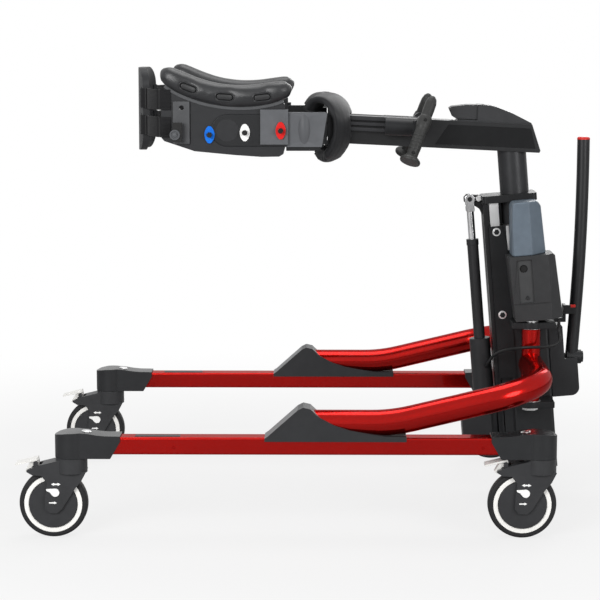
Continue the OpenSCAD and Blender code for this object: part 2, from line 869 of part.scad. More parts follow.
rail_y0 = arm_w / 2;
rail_y1 = arm_w / 2 + 13;
grip_x = -179;
grip_z = arm_h - 4;
grip_y = rail_y1 + 50;
module accessory_rails() {
    color("#77797c")
        at_arm()
            for (m = [0, 1])
                mirror([0, m, 0])
                    difference() {
                        block([-arm_l + 4, rail_y0, arm_h - 28], [grip_x + 7, rail_y1, arm_h + 1]);
                        for (z = [arm_h - 21, arm_h - 11])
                            block([-arm_l, rail_y1 - 3, z], [grip_x + 12, rail_y1 + 1, z + 4]);
                    }
}

module handhold_clamps() {
    color("#3d3e41")
        at_arm()
            for (m = [0, 1])
                mirror([0, m, 0])
                    difference() {
                        union() {
                            block([grip_x - 68, rail_y1, arm_h - 31], [grip_x - 14, rail_y1 + 18, arm_h - 1]);
                            translate([grip_x - 72, rail_y1 + 12.6, arm_h - 16])
                                rotate([0, 90, 0])
                                    cylinder(r = 17, h = 62);
                            translate([grip_x, rail_y1 + 4, grip_z])
                                rotate([-90, 0, 0])
                                    cylinder(r = 13, h = 26);
                            block([grip_x - 20, rail_y1 + 6, arm_h - 24], [grip_x, rail_y1 + 29.6, arm_h - 2]);
                        }
                        block([grip_x - 90, rail_y0 - 20, 0], [grip_x + 40, rail_y1, arm_h + 20]);
                    }
}

module handhold_shape() {
    color("#232426")
        at_arm()
            mirror([0, 1, 0])
                translate([grip_x, 0, grip_z])
                    rotate([0, grip_tilt - arm_rise, 0]) {
                        translate([0, grip_y, 0])
                            rotate([grip_splay, 0, 0])
                                rotate_extrude()
                                    polygon([
                                        [0, -85], [19, -85], [20, -83], [20, -80], [18, -77], [11, -72],
                                        [11, -64], [11.6, -54], [11.8, -42], [11.2, -28], [11, -16],
                                        [13, -9], [13.4, 2], [12.6, 10], [10.6, 14], [11, 28],
                                        [10.8, 42], [8.5, 51], [4.5, 56], [0, 57.5]
                                    ]);
                        translate([0, rail_y1 + 30.5, 0])
                            rotate([-90, 0, 0])
                                cylinder(r = 11, h = 18);
                    }
}

// Chest prompt
module prompt_hub() {
    y = knuckle_y;
    color("#3a3b3e")
        at_prompt() {
            block([-4, -22, -18], [14, 22, 20]);
            at_beam_end();
            translate([-4, -y + 24, 0])
                rotate([-90, 0, 0])
                    cylinder(r = 14, h = 2 * y - 48);
            for (m = [0, 1])
                mirror([0, m, 0]) {
                    block([-17, y - 25, -29], [9, y - 15, 29]);
                    for (z = [-29, 21])
                        block([-17, y - 20, z], [9, y, z + 8]);
                    for (z = [-29, 21])
                        translate([-4, y, z])
                            cylinder(r = 13, h = 8);
                    translate([-4, y, -31])
                        cylinder(r = 7, h = 62);
                }
        }
}

// Neck that carries the hub on the front face of the arm beam
module at_beam_end() {
    difference() {
        block([0, -20, -22], [30, 20, 22]);
        translate([-prompt_x, 0, -prompt_z])
            at_arm()
                block([-arm_l, -40, -20], [0, 40, arm_h + 20]);
    }
}

// Front pad: a padded band round the hub, open toward the user, fuller and set back in the middle
pad_n = 24;
pad_m = 14;
pad_half = 122;
function pad_mid(v) = 1 - v * v;
function pad_pt(u, v, out) = let (
    bulge = pad_mid(v),
    a = 148 - (216 + 72 * bulge) * u,
    rx = out ? 36 + 13 * bulge : 25 - 2 * bulge,
    rz = out ? (a < 0 ? 63 + 7 * bulge : 59 + 4 * bulge) : 47 - 3 * bulge
) [-8 + 23 * bulge + rx * cos(a), v * pad_half, rz * sin(a)];
pad_grid = (pad_n + 1) * (pad_m + 1);
function pad_id(i, k, out) = (out ? 0 : pad_grid) + i * (pad_m + 1) + k;
module front_pad_solid() {
    points = [for (out = [true, false]) for (i = [0:pad_n]) for (k = [0:pad_m])
        pad_pt(i / pad_n, 2 * k / pad_m - 1, out)];
    skins = [for (i = [0:pad_n - 1]) for (k = [0:pad_m - 1]) each [
        [pad_id(i, k, true), pad_id(i, k + 1, true), pad_id(i + 1, k + 1, true)],
        [pad_id(i, k, true), pad_id(i + 1, k + 1, true), pad_id(i + 1, k, true)],
        [pad_id(i, k, false), pad_id(i + 1, k + 1, false), pad_id(i, k + 1, false)],
        [pad_id(i, k, false), pad_id(i + 1, k, false), pad_id(i + 1, k + 1, false)]
    ]];
    ends = [for (i = [0:pad_n - 1]) each [
        [pad_id(i, 0, true), pad_id(i + 1, 0, true), pad_id(i + 1, 0, false)],
        [pad_id(i, 0, true), pad_id(i + 1, 0, false), pad_id(i, 0, false)],
        [pad_id(i, pad_m, true), pad_id(i + 1, pad_m, false), pad_id(i + 1, pad_m, true)],
        [pad_id(i, pad_m, true), pad_id(i, pad_m, false), pad_id(i + 1, pad_m, false)]
    ]];
    lips = [for (k = [0:pad_m - 1]) each [
        [pad_id(0, k, true), pad_id(0, k + 1, false), pad_id(0, k + 1, true)],
        [pad_id(0, k, true), pad_id(0, k, false), pad_id(0, k + 1, false)],
        [pad_id(pad_n, k, true), pad_id(pad_n, k + 1, true), pad_id(pad_n, k + 1, false)],
        [pad_id(pad_n, k, true), pad_id(pad_n, k + 1, false), pad_id(pad_n, k, false)]
    ]];
    polyhedron(points = points, faces = concat(skins, ends, lips), convexity = 8);
}

module front_pad() {
    color("#2f3033")
        difference() {
            at_prompt()
                front_pad_solid();
            at_arm()
                block([-arm_l - 60, -arm_w / 2, -20], [0, arm_w / 2, arm_h]);
            at_arm()
                block([-arm_l - 60, -rail_y1, arm_h - 28], [0, rail_y1, arm_h + 1]);
        }
}

// Side arms, drawn for the right side in the prompt frame
module side_bar_shape() {
    y = prompt_y;
    color("#77797b")
        at_prompt()
            mirror([0, 1, 0])
                difference() {
                    union() {
                        slab(y - bar_t / 2, y + bar_t / 2, [
                            [-70, -33], [-1, -33], [9, 30], [4, 31.5], [-70, 31.5]
                        ]);
                        slab(y - 3, shell_out + 6, [[-70, -28], [-64, -28], [-64, 31], [-70, 31]]);
                        block([-116, shell_out, -28], [-64, shell_out + 6, 37]);
                        translate([-4, knuckle_y, -20.5])
                            cylinder(r = 13, h = 41);
                        block([-17, knuckle_y, -20.5], [1, y, 20.5]);
                        // raised lens on the outer face
                        intersection() {
                            translate([-34, y + bar_t / 2 - 76, 0])
                                scale([0.4, 1, 1])
                                    sphere(r = 81);
                            block([-50, y + bar_t / 2 - 1, -30], [-18, y + bar_t / 2 + 6, 29]);
                        }
                    }
                    translate([-4, knuckle_y, -40])
                        cylinder(r = 7 + run, h = 80);
                }
}

function roll_route(t) = bow([-303, 0, 111], [-236, 0, 57], [-134, 0, 47], [-56, 0, 80], t);
roll_n = 22;
// Roll half thickness along its length, drawn in at the three tufts and closed at both ends
function roll_size(t) = 0.16 + 0.84 * pow(1 - pow(abs(2 * t - 1), 7), 0.5);
function tuft(t, a) = max([for (c = [0.24, 0.53, 0.80])
    exp(-pow((t - c) / 0.045, 2))]) * pow(max(0, cos(a)), 4);
function roll_ring(t) = let (
    p = roll_route(t),
    d = unit(roll_route(min(1, t + 0.01)) - roll_route(max(0, t - 0.01))),
    up = [-d[2], 0, d[0]],
    s = roll_size(t)
) [for (j = [0:roll_n - 1]) let (a = 360 * j / roll_n, k = s - 0.2 * tuft(t, a))
    p + [0, 1, 0] * (pad_t / 2) * k * cos(a) * pow(abs(cos(a)) + 0.001, -0.15)
      - up * (pad_h / 2) * k * sin(a) * pow(abs(sin(a)) + 0.001, -0.15)];
module roll() {
    translate([0, prompt_y, 0])
        skin([for (i = [0:26]) roll_ring(i / 26)]);
}

module side_pad_shape() {
    color("#2c2d30")
        at_prompt()
            mirror([0, 1, 0])
                roll();
}

// Lower edge of the side pad, where the shell's upper edge meets it
function roll_under(t) = let (
    d = unit(roll_route(min(1, t + 0.01)) - roll_route(max(0, t - 0.01))),
    p = roll_route(t) - (pad_h / 2 * roll_size(t) + 0.2) * [-d[2], 0, d[0]]
) [p[0], p[2]];
module side_shell_shape() {
    y = prompt_y;
    color("#3b3c3f")
        at_prompt()
            mirror([0, 1, 0])
                difference() {
                    union() {
                        slab(y - shell_t / 2, shell_out, concat([
                            [-301, 66], [-301, -16], [-296, -22], [-239, -41], [-165, -48], [-114, -51.5],
                            [-81, -51], [-73, -46], [-70, -35], [-70, 46]
                        ], [for (i = [0:20]) roll_under(0.9 - 0.8 * i / 20)]));
                        translate([-178, shell_out - 1, -2])
                            rotate([-90, 0, 0])
                                cylinder(r = 21, h = 4);
                        // adjuster plate with its clamp hole
                        block([-279, shell_out - 1, -27], [-248, shell_out + 4, 52]);
                    }
                    translate([-263, shell_out - 20, 40])
                        rotate([-90, 0, 0])
                            cylinder(r = 4.5, h = 60);
                }
}

stud_x = [-211, -145, -78];
module strap_studs_shape() {
    color("#b9bcc0")
        at_prompt()
            mirror([0, 1, 0]) {
                for (k = [0:2])
                    translate([stud_x[k], shell_out + (k == 2 ? 6 : 0), [-10, -6, -2][k]]) {
                        intersection() {
                            block([-12, 0, -16], [12, 4, 16]);
                            translate([12.3, 4, 0])
                                rotate([90, 0, 0])
                                    cylinder(r = 21.8, h = 4);
                            translate([-12.3, 4, 0])
                                rotate([90, 0, 0])
                                    cylinder(r = 21.8, h = 4);
                        }
                        rotate([-90, 0, 0])
                            cylinder(r = stud_r, h = 14);
                    }
                // thumb knob of the adjuster plate
                translate([-270, shell_out + 4, -5]) {
                    rotate([-90, 0, 0])
                        cylinder(r = 6, h = 8);
                    block([-8.5, 6, -18], [8.5, 16, 18]);
                }
            }
}

// Back support
back_r = 220;
back_x = -358;
module back_plate() {
    color("#55575a")
        at_prompt()
            difference() {
                intersection() {
                    translate([back_x + back_r, 0, -46])
                        cylinder(r = back_r, h = 158);
                    back_outline();
                }
                translate([back_x + back_r, 0, -50])
                    cylinder(r = back_r - 12, h = 170);
                block([-700, -300, -100], [back_x + 140, -78, 200]);
                block([-700, 78, -100], [back_x + 140, 300, 200]);
                block([back_x + 100, -300, -100], [back_x + 500, 300, 200]);
                for (s = [-1, 1], z = [-16, 35])
                    block([back_x - 20, s * 66 - 3, z], [back_x + 60, s * 66 + 3, z + strap_w + 3]);
            }
}

// Rounded outline of the back plate, seen along X
module back_outline() {
    block([back_x - 5, -78, -12], [back_x + 100, 78, 78]);
    block([back_x - 5, -44, -46], [back_x + 100, 44, 112]);
    for (y = [-44, 44], z = [-12, 78])
        translate([back_x - 5, y, z])
            rotate([0, 90, 0])
                cylinder(r = 34, h = 105);
}

module straps_shape(gap) {
    y = prompt_y;
    color("#1c1c1e")
        at_prompt()
            mirror([0, 1, 0])
                for (z = [-15, 36])
                    translate([0, 0, z])
                        linear_extrude(height = strap_w)
                            polygon([
                                [-301, y + strap_t / 2], [-311, y - 4], [back_x + 28, y - 50], [back_x + 22, 78 + gap],
                                [back_x + 22 + strap_t, 78 + gap], [back_x + 31, y - 50], [-309, y - 6],
                                [-301, y - strap_t / 2]
                            ]);
}

mast_tube();
guide_plates();
guide_glides();
mast_fasteners();
pivot_plates();
spreader_housing();
actuator_body();
control_box();
control_cable();
battery();
spreader_lever();
lift_post();
lift_head();
lift_channel();
slide_bar();
actuator_rod();
arm_beam();
arm_cover();
release_lever();
accessory_rails();
handhold_clamps();
handhold_shape();  // right_handhold
left_of() handhold_shape();  // left_handhold
prompt_hub();
front_pad();
side_bar_shape();  // right_side_bar
left_of() side_bar_shape();  // left_side_bar
side_shell_shape();  // right_side_shell
left_of() side_shell_shape();  // left_side_shell
side_pad_shape();  // right_side_pad
left_of() side_pad_shape();  // left_side_pad
strap_studs_shape();  // right_strap_studs
left_of() strap_studs_shape();  // left_strap_studs
straps_shape(0.2);  // right_straps
left_of() straps_shape(0.5);  // left_straps
back_plate();
rail_shape();  // right_rail
left_of() rail_shape();  // left_rail
leg_tube_shape();  // right_leg_tube
left_of() leg_tube_shape();  // left_leg_tube
gusset_shape();  // right_gusset
left_of() gusset_shape();  // left_gusset
housings_shape();  // right_housings
left_of() housings_shape();  // left_housings
at_caster(true, -1) fork_shape();  // front_right_fork
at_caster(true, 1) fork_shape();  // front_left_fork
at_caster(false, -1) fork_shape();  // rear_right_fork
at_caster(false, 1) fork_shape();  // rear_left_fork
at_caster(true, -1) tyre_shape();  // front_right_tyre
at_caster(true, 1) tyre_shape();  // front_left_tyre
at_caster(false, -1) tyre_shape();  // rear_right_tyre
at_caster(false, 1) tyre_shape();  // rear_left_tyre
at_caster(true, -1) core_shape();  // front_right_core
at_caster(true, 1) core_shape();  // front_left_core
at_caster(false, -1) core_shape();  // rear_right_core
at_caster(false, 1) core_shape();  // rear_left_core
at_caster(true, -1) pedal_shape();  // front_right_pedal
at_caster(true, 1) pedal_shape();  // front_left_pedal
at_caster(false, -1) pedal_shape();  // rear_right_pedal
at_caster(false, 1) pedal_shape();  // rear_left_pedal
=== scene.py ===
import json
import math
import bmesh
import bpy
import numpy as np
from mathutils import Matrix, Vector
from mathutils.bvhtree import BVHTree

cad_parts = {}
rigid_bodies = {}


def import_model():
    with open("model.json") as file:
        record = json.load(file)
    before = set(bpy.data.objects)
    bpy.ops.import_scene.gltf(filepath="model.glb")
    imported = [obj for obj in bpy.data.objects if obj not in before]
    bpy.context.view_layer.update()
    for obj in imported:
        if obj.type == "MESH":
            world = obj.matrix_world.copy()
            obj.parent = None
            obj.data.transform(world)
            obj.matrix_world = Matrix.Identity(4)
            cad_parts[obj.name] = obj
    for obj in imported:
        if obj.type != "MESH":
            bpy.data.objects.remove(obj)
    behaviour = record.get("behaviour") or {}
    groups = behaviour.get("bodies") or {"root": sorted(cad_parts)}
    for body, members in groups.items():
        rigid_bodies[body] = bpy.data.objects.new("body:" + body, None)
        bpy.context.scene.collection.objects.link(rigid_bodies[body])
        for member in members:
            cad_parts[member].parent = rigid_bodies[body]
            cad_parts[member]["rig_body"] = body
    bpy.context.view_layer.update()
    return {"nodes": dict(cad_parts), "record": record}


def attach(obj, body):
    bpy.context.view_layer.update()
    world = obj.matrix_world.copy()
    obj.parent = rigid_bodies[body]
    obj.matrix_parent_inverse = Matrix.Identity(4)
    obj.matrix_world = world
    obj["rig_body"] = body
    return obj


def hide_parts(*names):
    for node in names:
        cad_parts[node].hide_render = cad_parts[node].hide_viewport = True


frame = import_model()
nodes = frame["nodes"]
slotOf = {row["node"]: row["material_slot"] for row in frame["record"]["subparts"]}
scene = bpy.context.scene
sides = {"right": -1, "left": 1}
casters = [(end, side) for end in ("front", "rear") for side in sides]
# the legs' distance from the middle plane and the caster stems' places along X, in metres
legHalf = 0.35
casterX = {"front": -0.439, "rear": 0.416}
print("frame loaded,", len(nodes), "nodes")

# where the photograph was taken from
photoCamera = {"place": (0.0179, -4.0331, 0.9273), "lens": 123.57, "pitch": 7.591, "turn": 0.62}


def addObject(name, data):
    made = bpy.data.objects.new(name, data)
    scene.collection.objects.link(made)
    return made


def addCamera(cfg):
    data = bpy.data.cameras.new("photoCamera")
    data.lens = cfg["lens"]
    data.sensor_width = 36
    data.clip_end = 50
    cam = addObject("photoCamera", data)
    cam.location = cfg["place"]
    cam.rotation_euler = (math.radians(90 - cfg["pitch"]), 0, math.radians(cfg["turn"]))
    scene.camera = cam


addCamera(photoCamera)


def join(tree, slot, value):
    if isinstance(value, Wire):
        tree.links.new(value.socket, slot)
    else:
        slot.default_value = value


class Wire:
    # a node's output that can be used in sums
    def __init__(self, tree, socket):
        self.tree = tree
        self.socket = socket

    def maths(self, operation, a, b):
        step = self.tree.nodes.new("ShaderNodeMath")
        step.operation = operation
        join(self.tree, step.inputs[0], a)
        join(self.tree, step.inputs[1], b)
        return Wire(self.tree, step.outputs[0])

    def __add__(self, other):
        return self.maths("ADD", self, other)

    def __sub__(self, other):
        return self.maths("SUBTRACT", self, other)

    def __rsub__(self, other):
        return self.maths("SUBTRACT", other, self)

    def __mul__(self, other):
        return self.maths("MULTIPLY", self, other)

    def __gt__(self, other):
        return self.maths("GREATER_THAN", self, other)


class Finish:
    # one material and the way its nodes are added
    def __init__(self, name, tree=None):
        self.material = None
        if tree is None:
            self.material = bpy.data.materials.new(name)
            self.material.use_nodes = True
            tree = self.material.node_tree
        self.tree = tree
        self.shader = tree.nodes.get("Principled BSDF")

    def add(self, kind, settings=None, sockets=None, out=0):
        made = self.tree.nodes.new(kind)
        for key, value in (settings or {}).items():
            setattr(made, key, value)
        for key, value in (sockets or {}).items():
            join(self.tree, made.inputs[key], value)
        return Wire(self.tree, made.outputs[out])

    def feed(self, **sockets):
        for key, value in sockets.items():
            join(self.tree, self.shader.inputs[key.replace("_", " ")], value)

    def blendColour(self, factor, a, b):
        return self.add("ShaderNodeMix", {"data_type": "RGBA"}, {0: factor, 6: a, 7: b}, 2)

    def noise(self, size, detail):
        at = self.add("ShaderNodeTexCoord", out="Object")
        return self.add("ShaderNodeTexNoise", {}, {"Vector": at, "Scale": 1 / size, "Detail": detail}, 0)

    # how sharp the edges are, for edge wear and a painted rim highlight
    def edges(self):
        return self.add("ShaderNodeAttribute", {"attribute_name": "edgeWearAndHighlight"}, out="Fac")

    def bump(self, height, strength, distance):
        return self.add("ShaderNodeBump", {}, {"Height": height, "Strength": strength, "Distance": distance})


def tint(colour, share):
    return tuple(min(1.0, c * share) for c in colour[:3]) + (1.0,)


# moulded, cast and painted surfaces: fine grain, cloudy gloss and paler edges, which are partly rubbed wear and partly
# a painted rim highlight
def hardFinish(name, colour, rough, metal=0.0, grain=0.0012, depth=0.12, spread=0.12, coat=0.0, wearAndHighlight=0.35, level=0.17):
    f = Finish(name)
    cloud = f.noise(0.09, 4)
    fine = f.noise(grain, 2)
    edge = f.edges()
    # paler sharp edges: rubbed wear mixed with a painted rim highlight
    rubAndRimHighlight = edge * f.noise(0.018, 3) * wearAndHighlight
    body = f.blendColour(cloud, tint(colour, 1 - spread), tint(colour, 1 + spread))
    wornAndHighlit = f.blendColour(rubAndRimHighlight, body, tint(colour, 2.6 if metal < 0.5 else 1.5))
    f.feed(Base_Color=wornAndHighlit, Roughness=(cloud - 0.5) * 0.16 + fine * 0.06 + (rough - 0.03),
           Normal=f.bump(fine, depth, grain * 0.35), Metallic=metal)
    f.feed(Specular_IOR_Level=level, Coat_Weight=coat, Coat_Roughness=0.12)
    return f.material


# metallic paint: flakes under a clear coat
def flakePaint(name, colour, cfg):
    f = Finish(name)
    at = f.add("ShaderNodeTexCoord", out="Object")
    flake = f.add("ShaderNodeTexVoronoi", {}, {"Vector": at, "Scale": 1 / cfg["flake"]}, 1)
    shade = f.add("ShaderNodeSeparateColor", {}, {0: flake}, 0)
    cloud = f.noise(0.12, 3)
    edge = f.edges()
    body = f.blendColour(shade * 0.6 + cloud * 0.4, tint(colour, 0.78), tint(colour, 1.25))
    # the sharp edges are mixed toward a paler red: paint wear and a painted rim highlight
    f.feed(Base_Color=f.blendColour(edge * 0.25, body, tint(colour, 1.7)), Metallic=cfg["metal"],
           Roughness=(cloud - 0.5) * 0.1 + shade * 0.06 + cfg["rough"], Normal=f.bump(f.noise(0.006, 2), 0.05, 0.0003))
    f.feed(Coat_Weight=0.2, Coat_Roughness=0.04, Specular_IOR_Level=0.2, Specular_Tint=(0.6, 0.15, 0.1, 1.0))
    return f.material


# soft padding cover: pebbled skin with a slight sheen
def padFinish(name, colour, rough=0.38, level=0.42):
    f = Finish(name)
    at = f.add("ShaderNodeTexCoord", out="Object")
    pebble = f.add("ShaderNodeTexVoronoi", {"feature": "SMOOTH_F1"},
                   {"Vector": at, "Scale": 900.0, "Smoothness": 0.6}, 0)
    weave = f.noise(0.0007, 2)
    cloud = f.noise(0.05, 4)
    body = f.blendColour(cloud, tint(colour, 0.8), tint(colour, 1.25))
    pale = f.blendColour(f.noise(0.011, 4) > 0.66, body, tint(colour, 1.35))
    f.feed(Base_Color=pale, Roughness=(cloud - 0.5) * 0.16 + rough, Normal=f.bump(pebble + weave * 0.5, 0.25, 0.0004))
    f.feed(Sheen_Weight=0.04, Sheen_Roughness=0.4, Specular_IOR_Level=level)
    return f.material


# woven strap: ribs along the length and a fine cross weave, on the strap's own map
def webFinish(name, colour):
    f = Finish(name)
    at = f.add("ShaderNodeUVMap", {"uv_map": "strapMap"})
    waves = [f.add("ShaderNodeTexWave", {"bands_direction": way}, {"Vector": at, "Scale": scale, "Distortion": bend})
             for way, scale, bend in (("Y", 130.0, 0.2), ("X", 260.0, 0.3))]
    ribs, picks = (f.add("ShaderNodeSeparateColor", {}, {0: wave}) for wave in waves)
    cloth = ribs * 0.7 + picks * 0.3
    body = f.blendColour(cloth, tint(colour, 0.7), tint(colour, 1.6))
    f.feed(Base_Color=f.blendColour(f.noise(0.02, 4) * 0.4, body, tint(colour, 1.4)), Roughness=0.92 - cloth * 0.2,
           Normal=f.bump(cloth, 0.5, 0.0005))
    f.feed(Sheen_Weight=0.04, Sheen_Roughness=0.5, Specular_IOR_Level=0.2)
    return f.material


# drawn or brushed metal: long scratches along Z
def brushedFinish(name, colour, rough, stretch=(900, 900, 12)):
    f = Finish(name)
    at = f.add("ShaderNodeTexCoord", out="Object")
    lines = f.add("ShaderNodeTexNoise", {}, {"Vector": f.add("ShaderNodeMapping", {}, {"Vector": at, "Scale": stretch}),
                                             "Scale": 1.0, "Detail": 3.0}, 0)
    cloud = f.noise(0.06, 3)
    f.feed(Base_Color=f.blendColour(lines * 0.7 + cloud * 0.3, tint(colour, 0.8), tint(colour, 1.1)), Metallic=1.0,
           Roughness=lines * 0.15 + cloud * 0.08 + rough, Normal=f.bump(lines, 0.08, 0.0002))
    return f.material


# rubber tread: dull, with dusty patches
def treadFinish(name, colour):
    f = Finish(name)
    dust = f.noise(0.012, 5)
    fine = f.noise(0.0009, 2)
    f.feed(Base_Color=f.blendColour(dust, tint(colour, 0.8), tint(colour, 1.7)), Roughness=dust * 0.2 + 0.55,
           Normal=f.bump(fine, 0.2, 0.0004))
    f.feed(Specular_IOR_Level=0.25)
    return f.material


finish = {
    "mast": hardFinish("mastAnodised", (0.0115, 0.012, 0.013), 0.36, grain=0.0006, depth=0.06, level=0.26),
    "channel": hardFinish("channelAnodised", (0.007, 0.0072, 0.008), 0.3, grain=0.0006, depth=0.05, level=0.26),
    "moulded": hardFinish("casterMoulding", (0.0165, 0.017, 0.0182), 0.42, grain=0.001, depth=0.16),
    "capGloss": hardFinish("housingCap", (0.014, 0.0145, 0.0155), 0.24, grain=0.0014, depth=0.05),
    "gusset": hardFinish("gussetMoulding", (0.021, 0.0215, 0.023), 0.42, grain=0.001, depth=0.16),
    # paler grey for the gussets' front slope: a painted highlight
    "gussetLitSlope": hardFinish("gussetSlopeHighlight", (0.085, 0.088, 0.092), 0.4, grain=0.001, depth=0.12),
    "bracket": hardFinish("bracketPowder", (0.0095, 0.0098, 0.0105), 0.4, grain=0.0016, depth=0.22),
    "red": flakePaint("candyRed", (0.32, 0.0045, 0.003), {"flake": 0.0007, "metal": 0.92, "rough": 0.19}),
    "redCap": hardFinish("leverCapRed", (0.42, 0.02, 0.016), 0.36),
    "battery": hardFinish("batteryCase", (0.086, 0.108, 0.132), 0.42, grain=0.0012, depth=0.12),
    "boxCase": hardFinish("controlCase", (0.024, 0.0245, 0.0255), 0.45, grain=0.001, depth=0.18),
    "boxInset": hardFinish("controlInset", (0.04, 0.041, 0.042), 0.5, grain=0.001, depth=0.12),
    "lead": hardFinish("leadJacket", (0.01, 0.01, 0.0105), 0.4, grain=0.003, depth=0.05),
    "post": hardFinish("postAnodised", (0.024, 0.0245, 0.026), 0.34, metal=0.2, grain=0.0006, depth=0.05),
    "bright": brushedFinish("plainAlloy", (0.6, 0.6, 0.6), 0.3),
    "steel": brushedFinish("platedSteel", (0.72, 0.72, 0.72), 0.2, (300, 300, 300)),
    "chrome": brushedFinish("rodChrome", (0.8, 0.8, 0.81), 0.06, (500, 500, 8)),
    "arm": hardFinish("armAnodised", (0.0125, 0.0128, 0.0136), 0.33, grain=0.0006, depth=0.06, level=0.26),
    "armInlay": hardFinish("armInlay", (0.0088, 0.009, 0.0095), 0.22, grain=0.002, depth=0.03),
    "cover": hardFinish("armCover", (0.027, 0.0275, 0.029), 0.4, grain=0.001, depth=0.14),
    "rail": hardFinish("clampRail", (0.038, 0.0385, 0.041), 0.34, metal=0.5, grain=0.0006, depth=0.05),
    "clamp": hardFinish("clampBody", (0.0125, 0.013, 0.014), 0.4, grain=0.001, depth=0.14),
    "grip": hardFinish("gripRubber", (0.030, 0.0303, 0.0297), 0.42, grain=0.0015, depth=0.25),
    "hub": hardFinish("hubBlack", (0.0105, 0.011, 0.0118), 0.42, grain=0.001, depth=0.14),
    "pad": padFinish("padCover", (0.0145, 0.015, 0.0165)),
    "padFront": padFinish("padFrontCover", (0.017, 0.0175, 0.019), 0.56, 0.16),
    "padSlot": hardFinish("padSlot", (0.003, 0.003, 0.0033), 0.6, grain=0.001, depth=0.2),
    "padInlay": hardFinish("padInlay", (0.026, 0.0265, 0.0275), 0.42, grain=0.001, depth=0.2, level=0.3),
    "bar": hardFinish("sideBar", (0.078, 0.081, 0.087), 0.45, grain=0.001, depth=0.14),
    "shell": hardFinish("sideShell", (0.018, 0.0185, 0.02), 0.42, grain=0.0012, depth=0.18),
    "adjuster": hardFinish("adjusterPlate", (0.055, 0.0565, 0.0595), 0.42, grain=0.001, depth=0.1),
    "studBlue": hardFinish("studBlue", (0.004, 0.115, 0.56), 0.32, spread=0.05),
    "studWhite": hardFinish("studWhite", (0.8, 0.8, 0.79), 0.34, spread=0.04, wearAndHighlight=0.1),
    "studRed": hardFinish("studRed", (0.55, 0.012, 0.011), 0.32, spread=0.05),
    "studPost": hardFinish("studPost", (0.01, 0.01, 0.01), 0.4),
    "web": webFinish("strapWebbing", (0.006, 0.006, 0.0067)),
    "thread": hardFinish("thread", (0.02, 0.02, 0.021), 0.7, grain=0.0006, depth=0.3),
    "back": hardFinish("backPlate", (0.02, 0.0205, 0.022), 0.46, grain=0.0012, depth=0.18),
    "tread": treadFinish("wheelTread", (0.009, 0.009, 0.0097)),
    "core": hardFinish("wheelCore", (0.8, 0.79, 0.76), 0.4, spread=0.03, wearAndHighlight=0.1),
    "guard": hardFinish("forkMoulding", (0.026, 0.0265, 0.028), 0.4, grain=0.001, depth=0.12),
    "pedal": hardFinish("pedalSteel", (0.74, 0.73, 0.7), 0.3, metal=0.35, spread=0.06),
    "mark": hardFinish("casterMark", (0.82, 0.82, 0.81), 0.5, spread=0.03, wearAndHighlight=0.0),
    "glide": hardFinish("glideNylon", (0.72, 0.71, 0.67), 0.45, spread=0.04),
    "strip": hardFinish("railStrip", (0.03, 0.0305, 0.032), 0.5, grain=0.0015, depth=0.2),
}
print("finishes made,", len(finish))

# meshes and how they join the model


def smoothMesh(mesh, angle):
    mesh.polygons.foreach_set("use_smooth", [True] * len(mesh.polygons))
    mesh.set_sharp_from_angle(angle=math.radians(angle))


def meshPiece(name, bm, material, smooth=35):
    mesh = bpy.data.meshes.new(name)
    bm.to_mesh(mesh)
    bm.free()
    piece = addObject(name, mesh)
    for m in material if isinstance(material, (list, tuple)) else [material]:
        mesh.materials.append(finish[m])
    smoothMesh(mesh, smooth)
    return piece


# a plain mesh of what the modifiers make, with the modifiers gone
def settle(piece):
    bpy.context.view_layer.update()
    seen = piece.evaluated_get(bpy.context.evaluated_depsgraph_get())
    mesh = bpy.data.meshes.new_from_object(seen)
    old = piece.data
    piece.modifiers.clear()
    piece.data = mesh
    mesh.name = piece.name
    bpy.data.meshes.remove(old)
    return piece


# how sharply the surface turns at each point, for the paler edges: edge wear and a painted rim highlight
def noteEdges(piece, full=0.5):
    bm = bmesh.new()
    bm.from_mesh(piece.data)
    turn = [min(1.0, max([e.calc_face_angle(0.0) for e in v.link_edges] + [0.0]) / full) for v in bm.verts]
    bm.free()
    row = piece.data.attributes.get("edgeWearAndHighlight") or piece.data.attributes.new("edgeWearAndHighlight", "FLOAT", "POINT")
    row.data.foreach_set("value", turn)
    return piece


def roundEdges(piece, width, steps=2, angle=28):
    bevel = piece.modifiers.new("bevel", "BEVEL")
    bevel.width = width
    bevel.segments = steps
    bevel.limit_method = "ANGLE"
    bevel.angle_limit = math.radians(angle)
    bevel.use_clamp_overlap = True
    bevel.miter_outer = "MITER_ARC"
    weigh = piece.modifiers.new("weigh", "WEIGHTED_NORMAL")
    weigh.keep_sharp = False
    settle(piece)
    return noteEdges(piece)


def place(piece, body, slot, *replaced):
    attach(piece, body)
    if replaced:
        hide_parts(*replaced)
    return piece


def nodeMesh(node, flat=0.5):
    bm = bmesh.new()
    bm.from_mesh(nodes[node].data)
    bmesh.ops.remove_doubles(bm, verts=bm.verts, dist=2e-5)
    bmesh.ops.dissolve_limit(bm, angle_limit=math.radians(flat), verts=bm.verts, edges=bm.edges)
    return bm


# a CAD node's own shape with its edges rounded; paint gives a face its material by its middle and direction
def dressNode(node, material, width, steps=2, paint=None):
    piece = meshPiece(node + "Skin", nodeMesh(node), material)
    roundEdges(piece, width, steps)
    if paint:
        for p in piece.data.polygons:
            p.material_index = paint(p.center, p.normal)
    return place(piece, nodes[node]["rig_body"], slotOf[node], node)


# the second material between two distances from the middle plane, on all faces or only those that face sideways
def sideBand(low, high, flat=0.0):
    return lambda c, n: 1 if low < abs(c.y) < high and abs(n.y) >= flat else 0


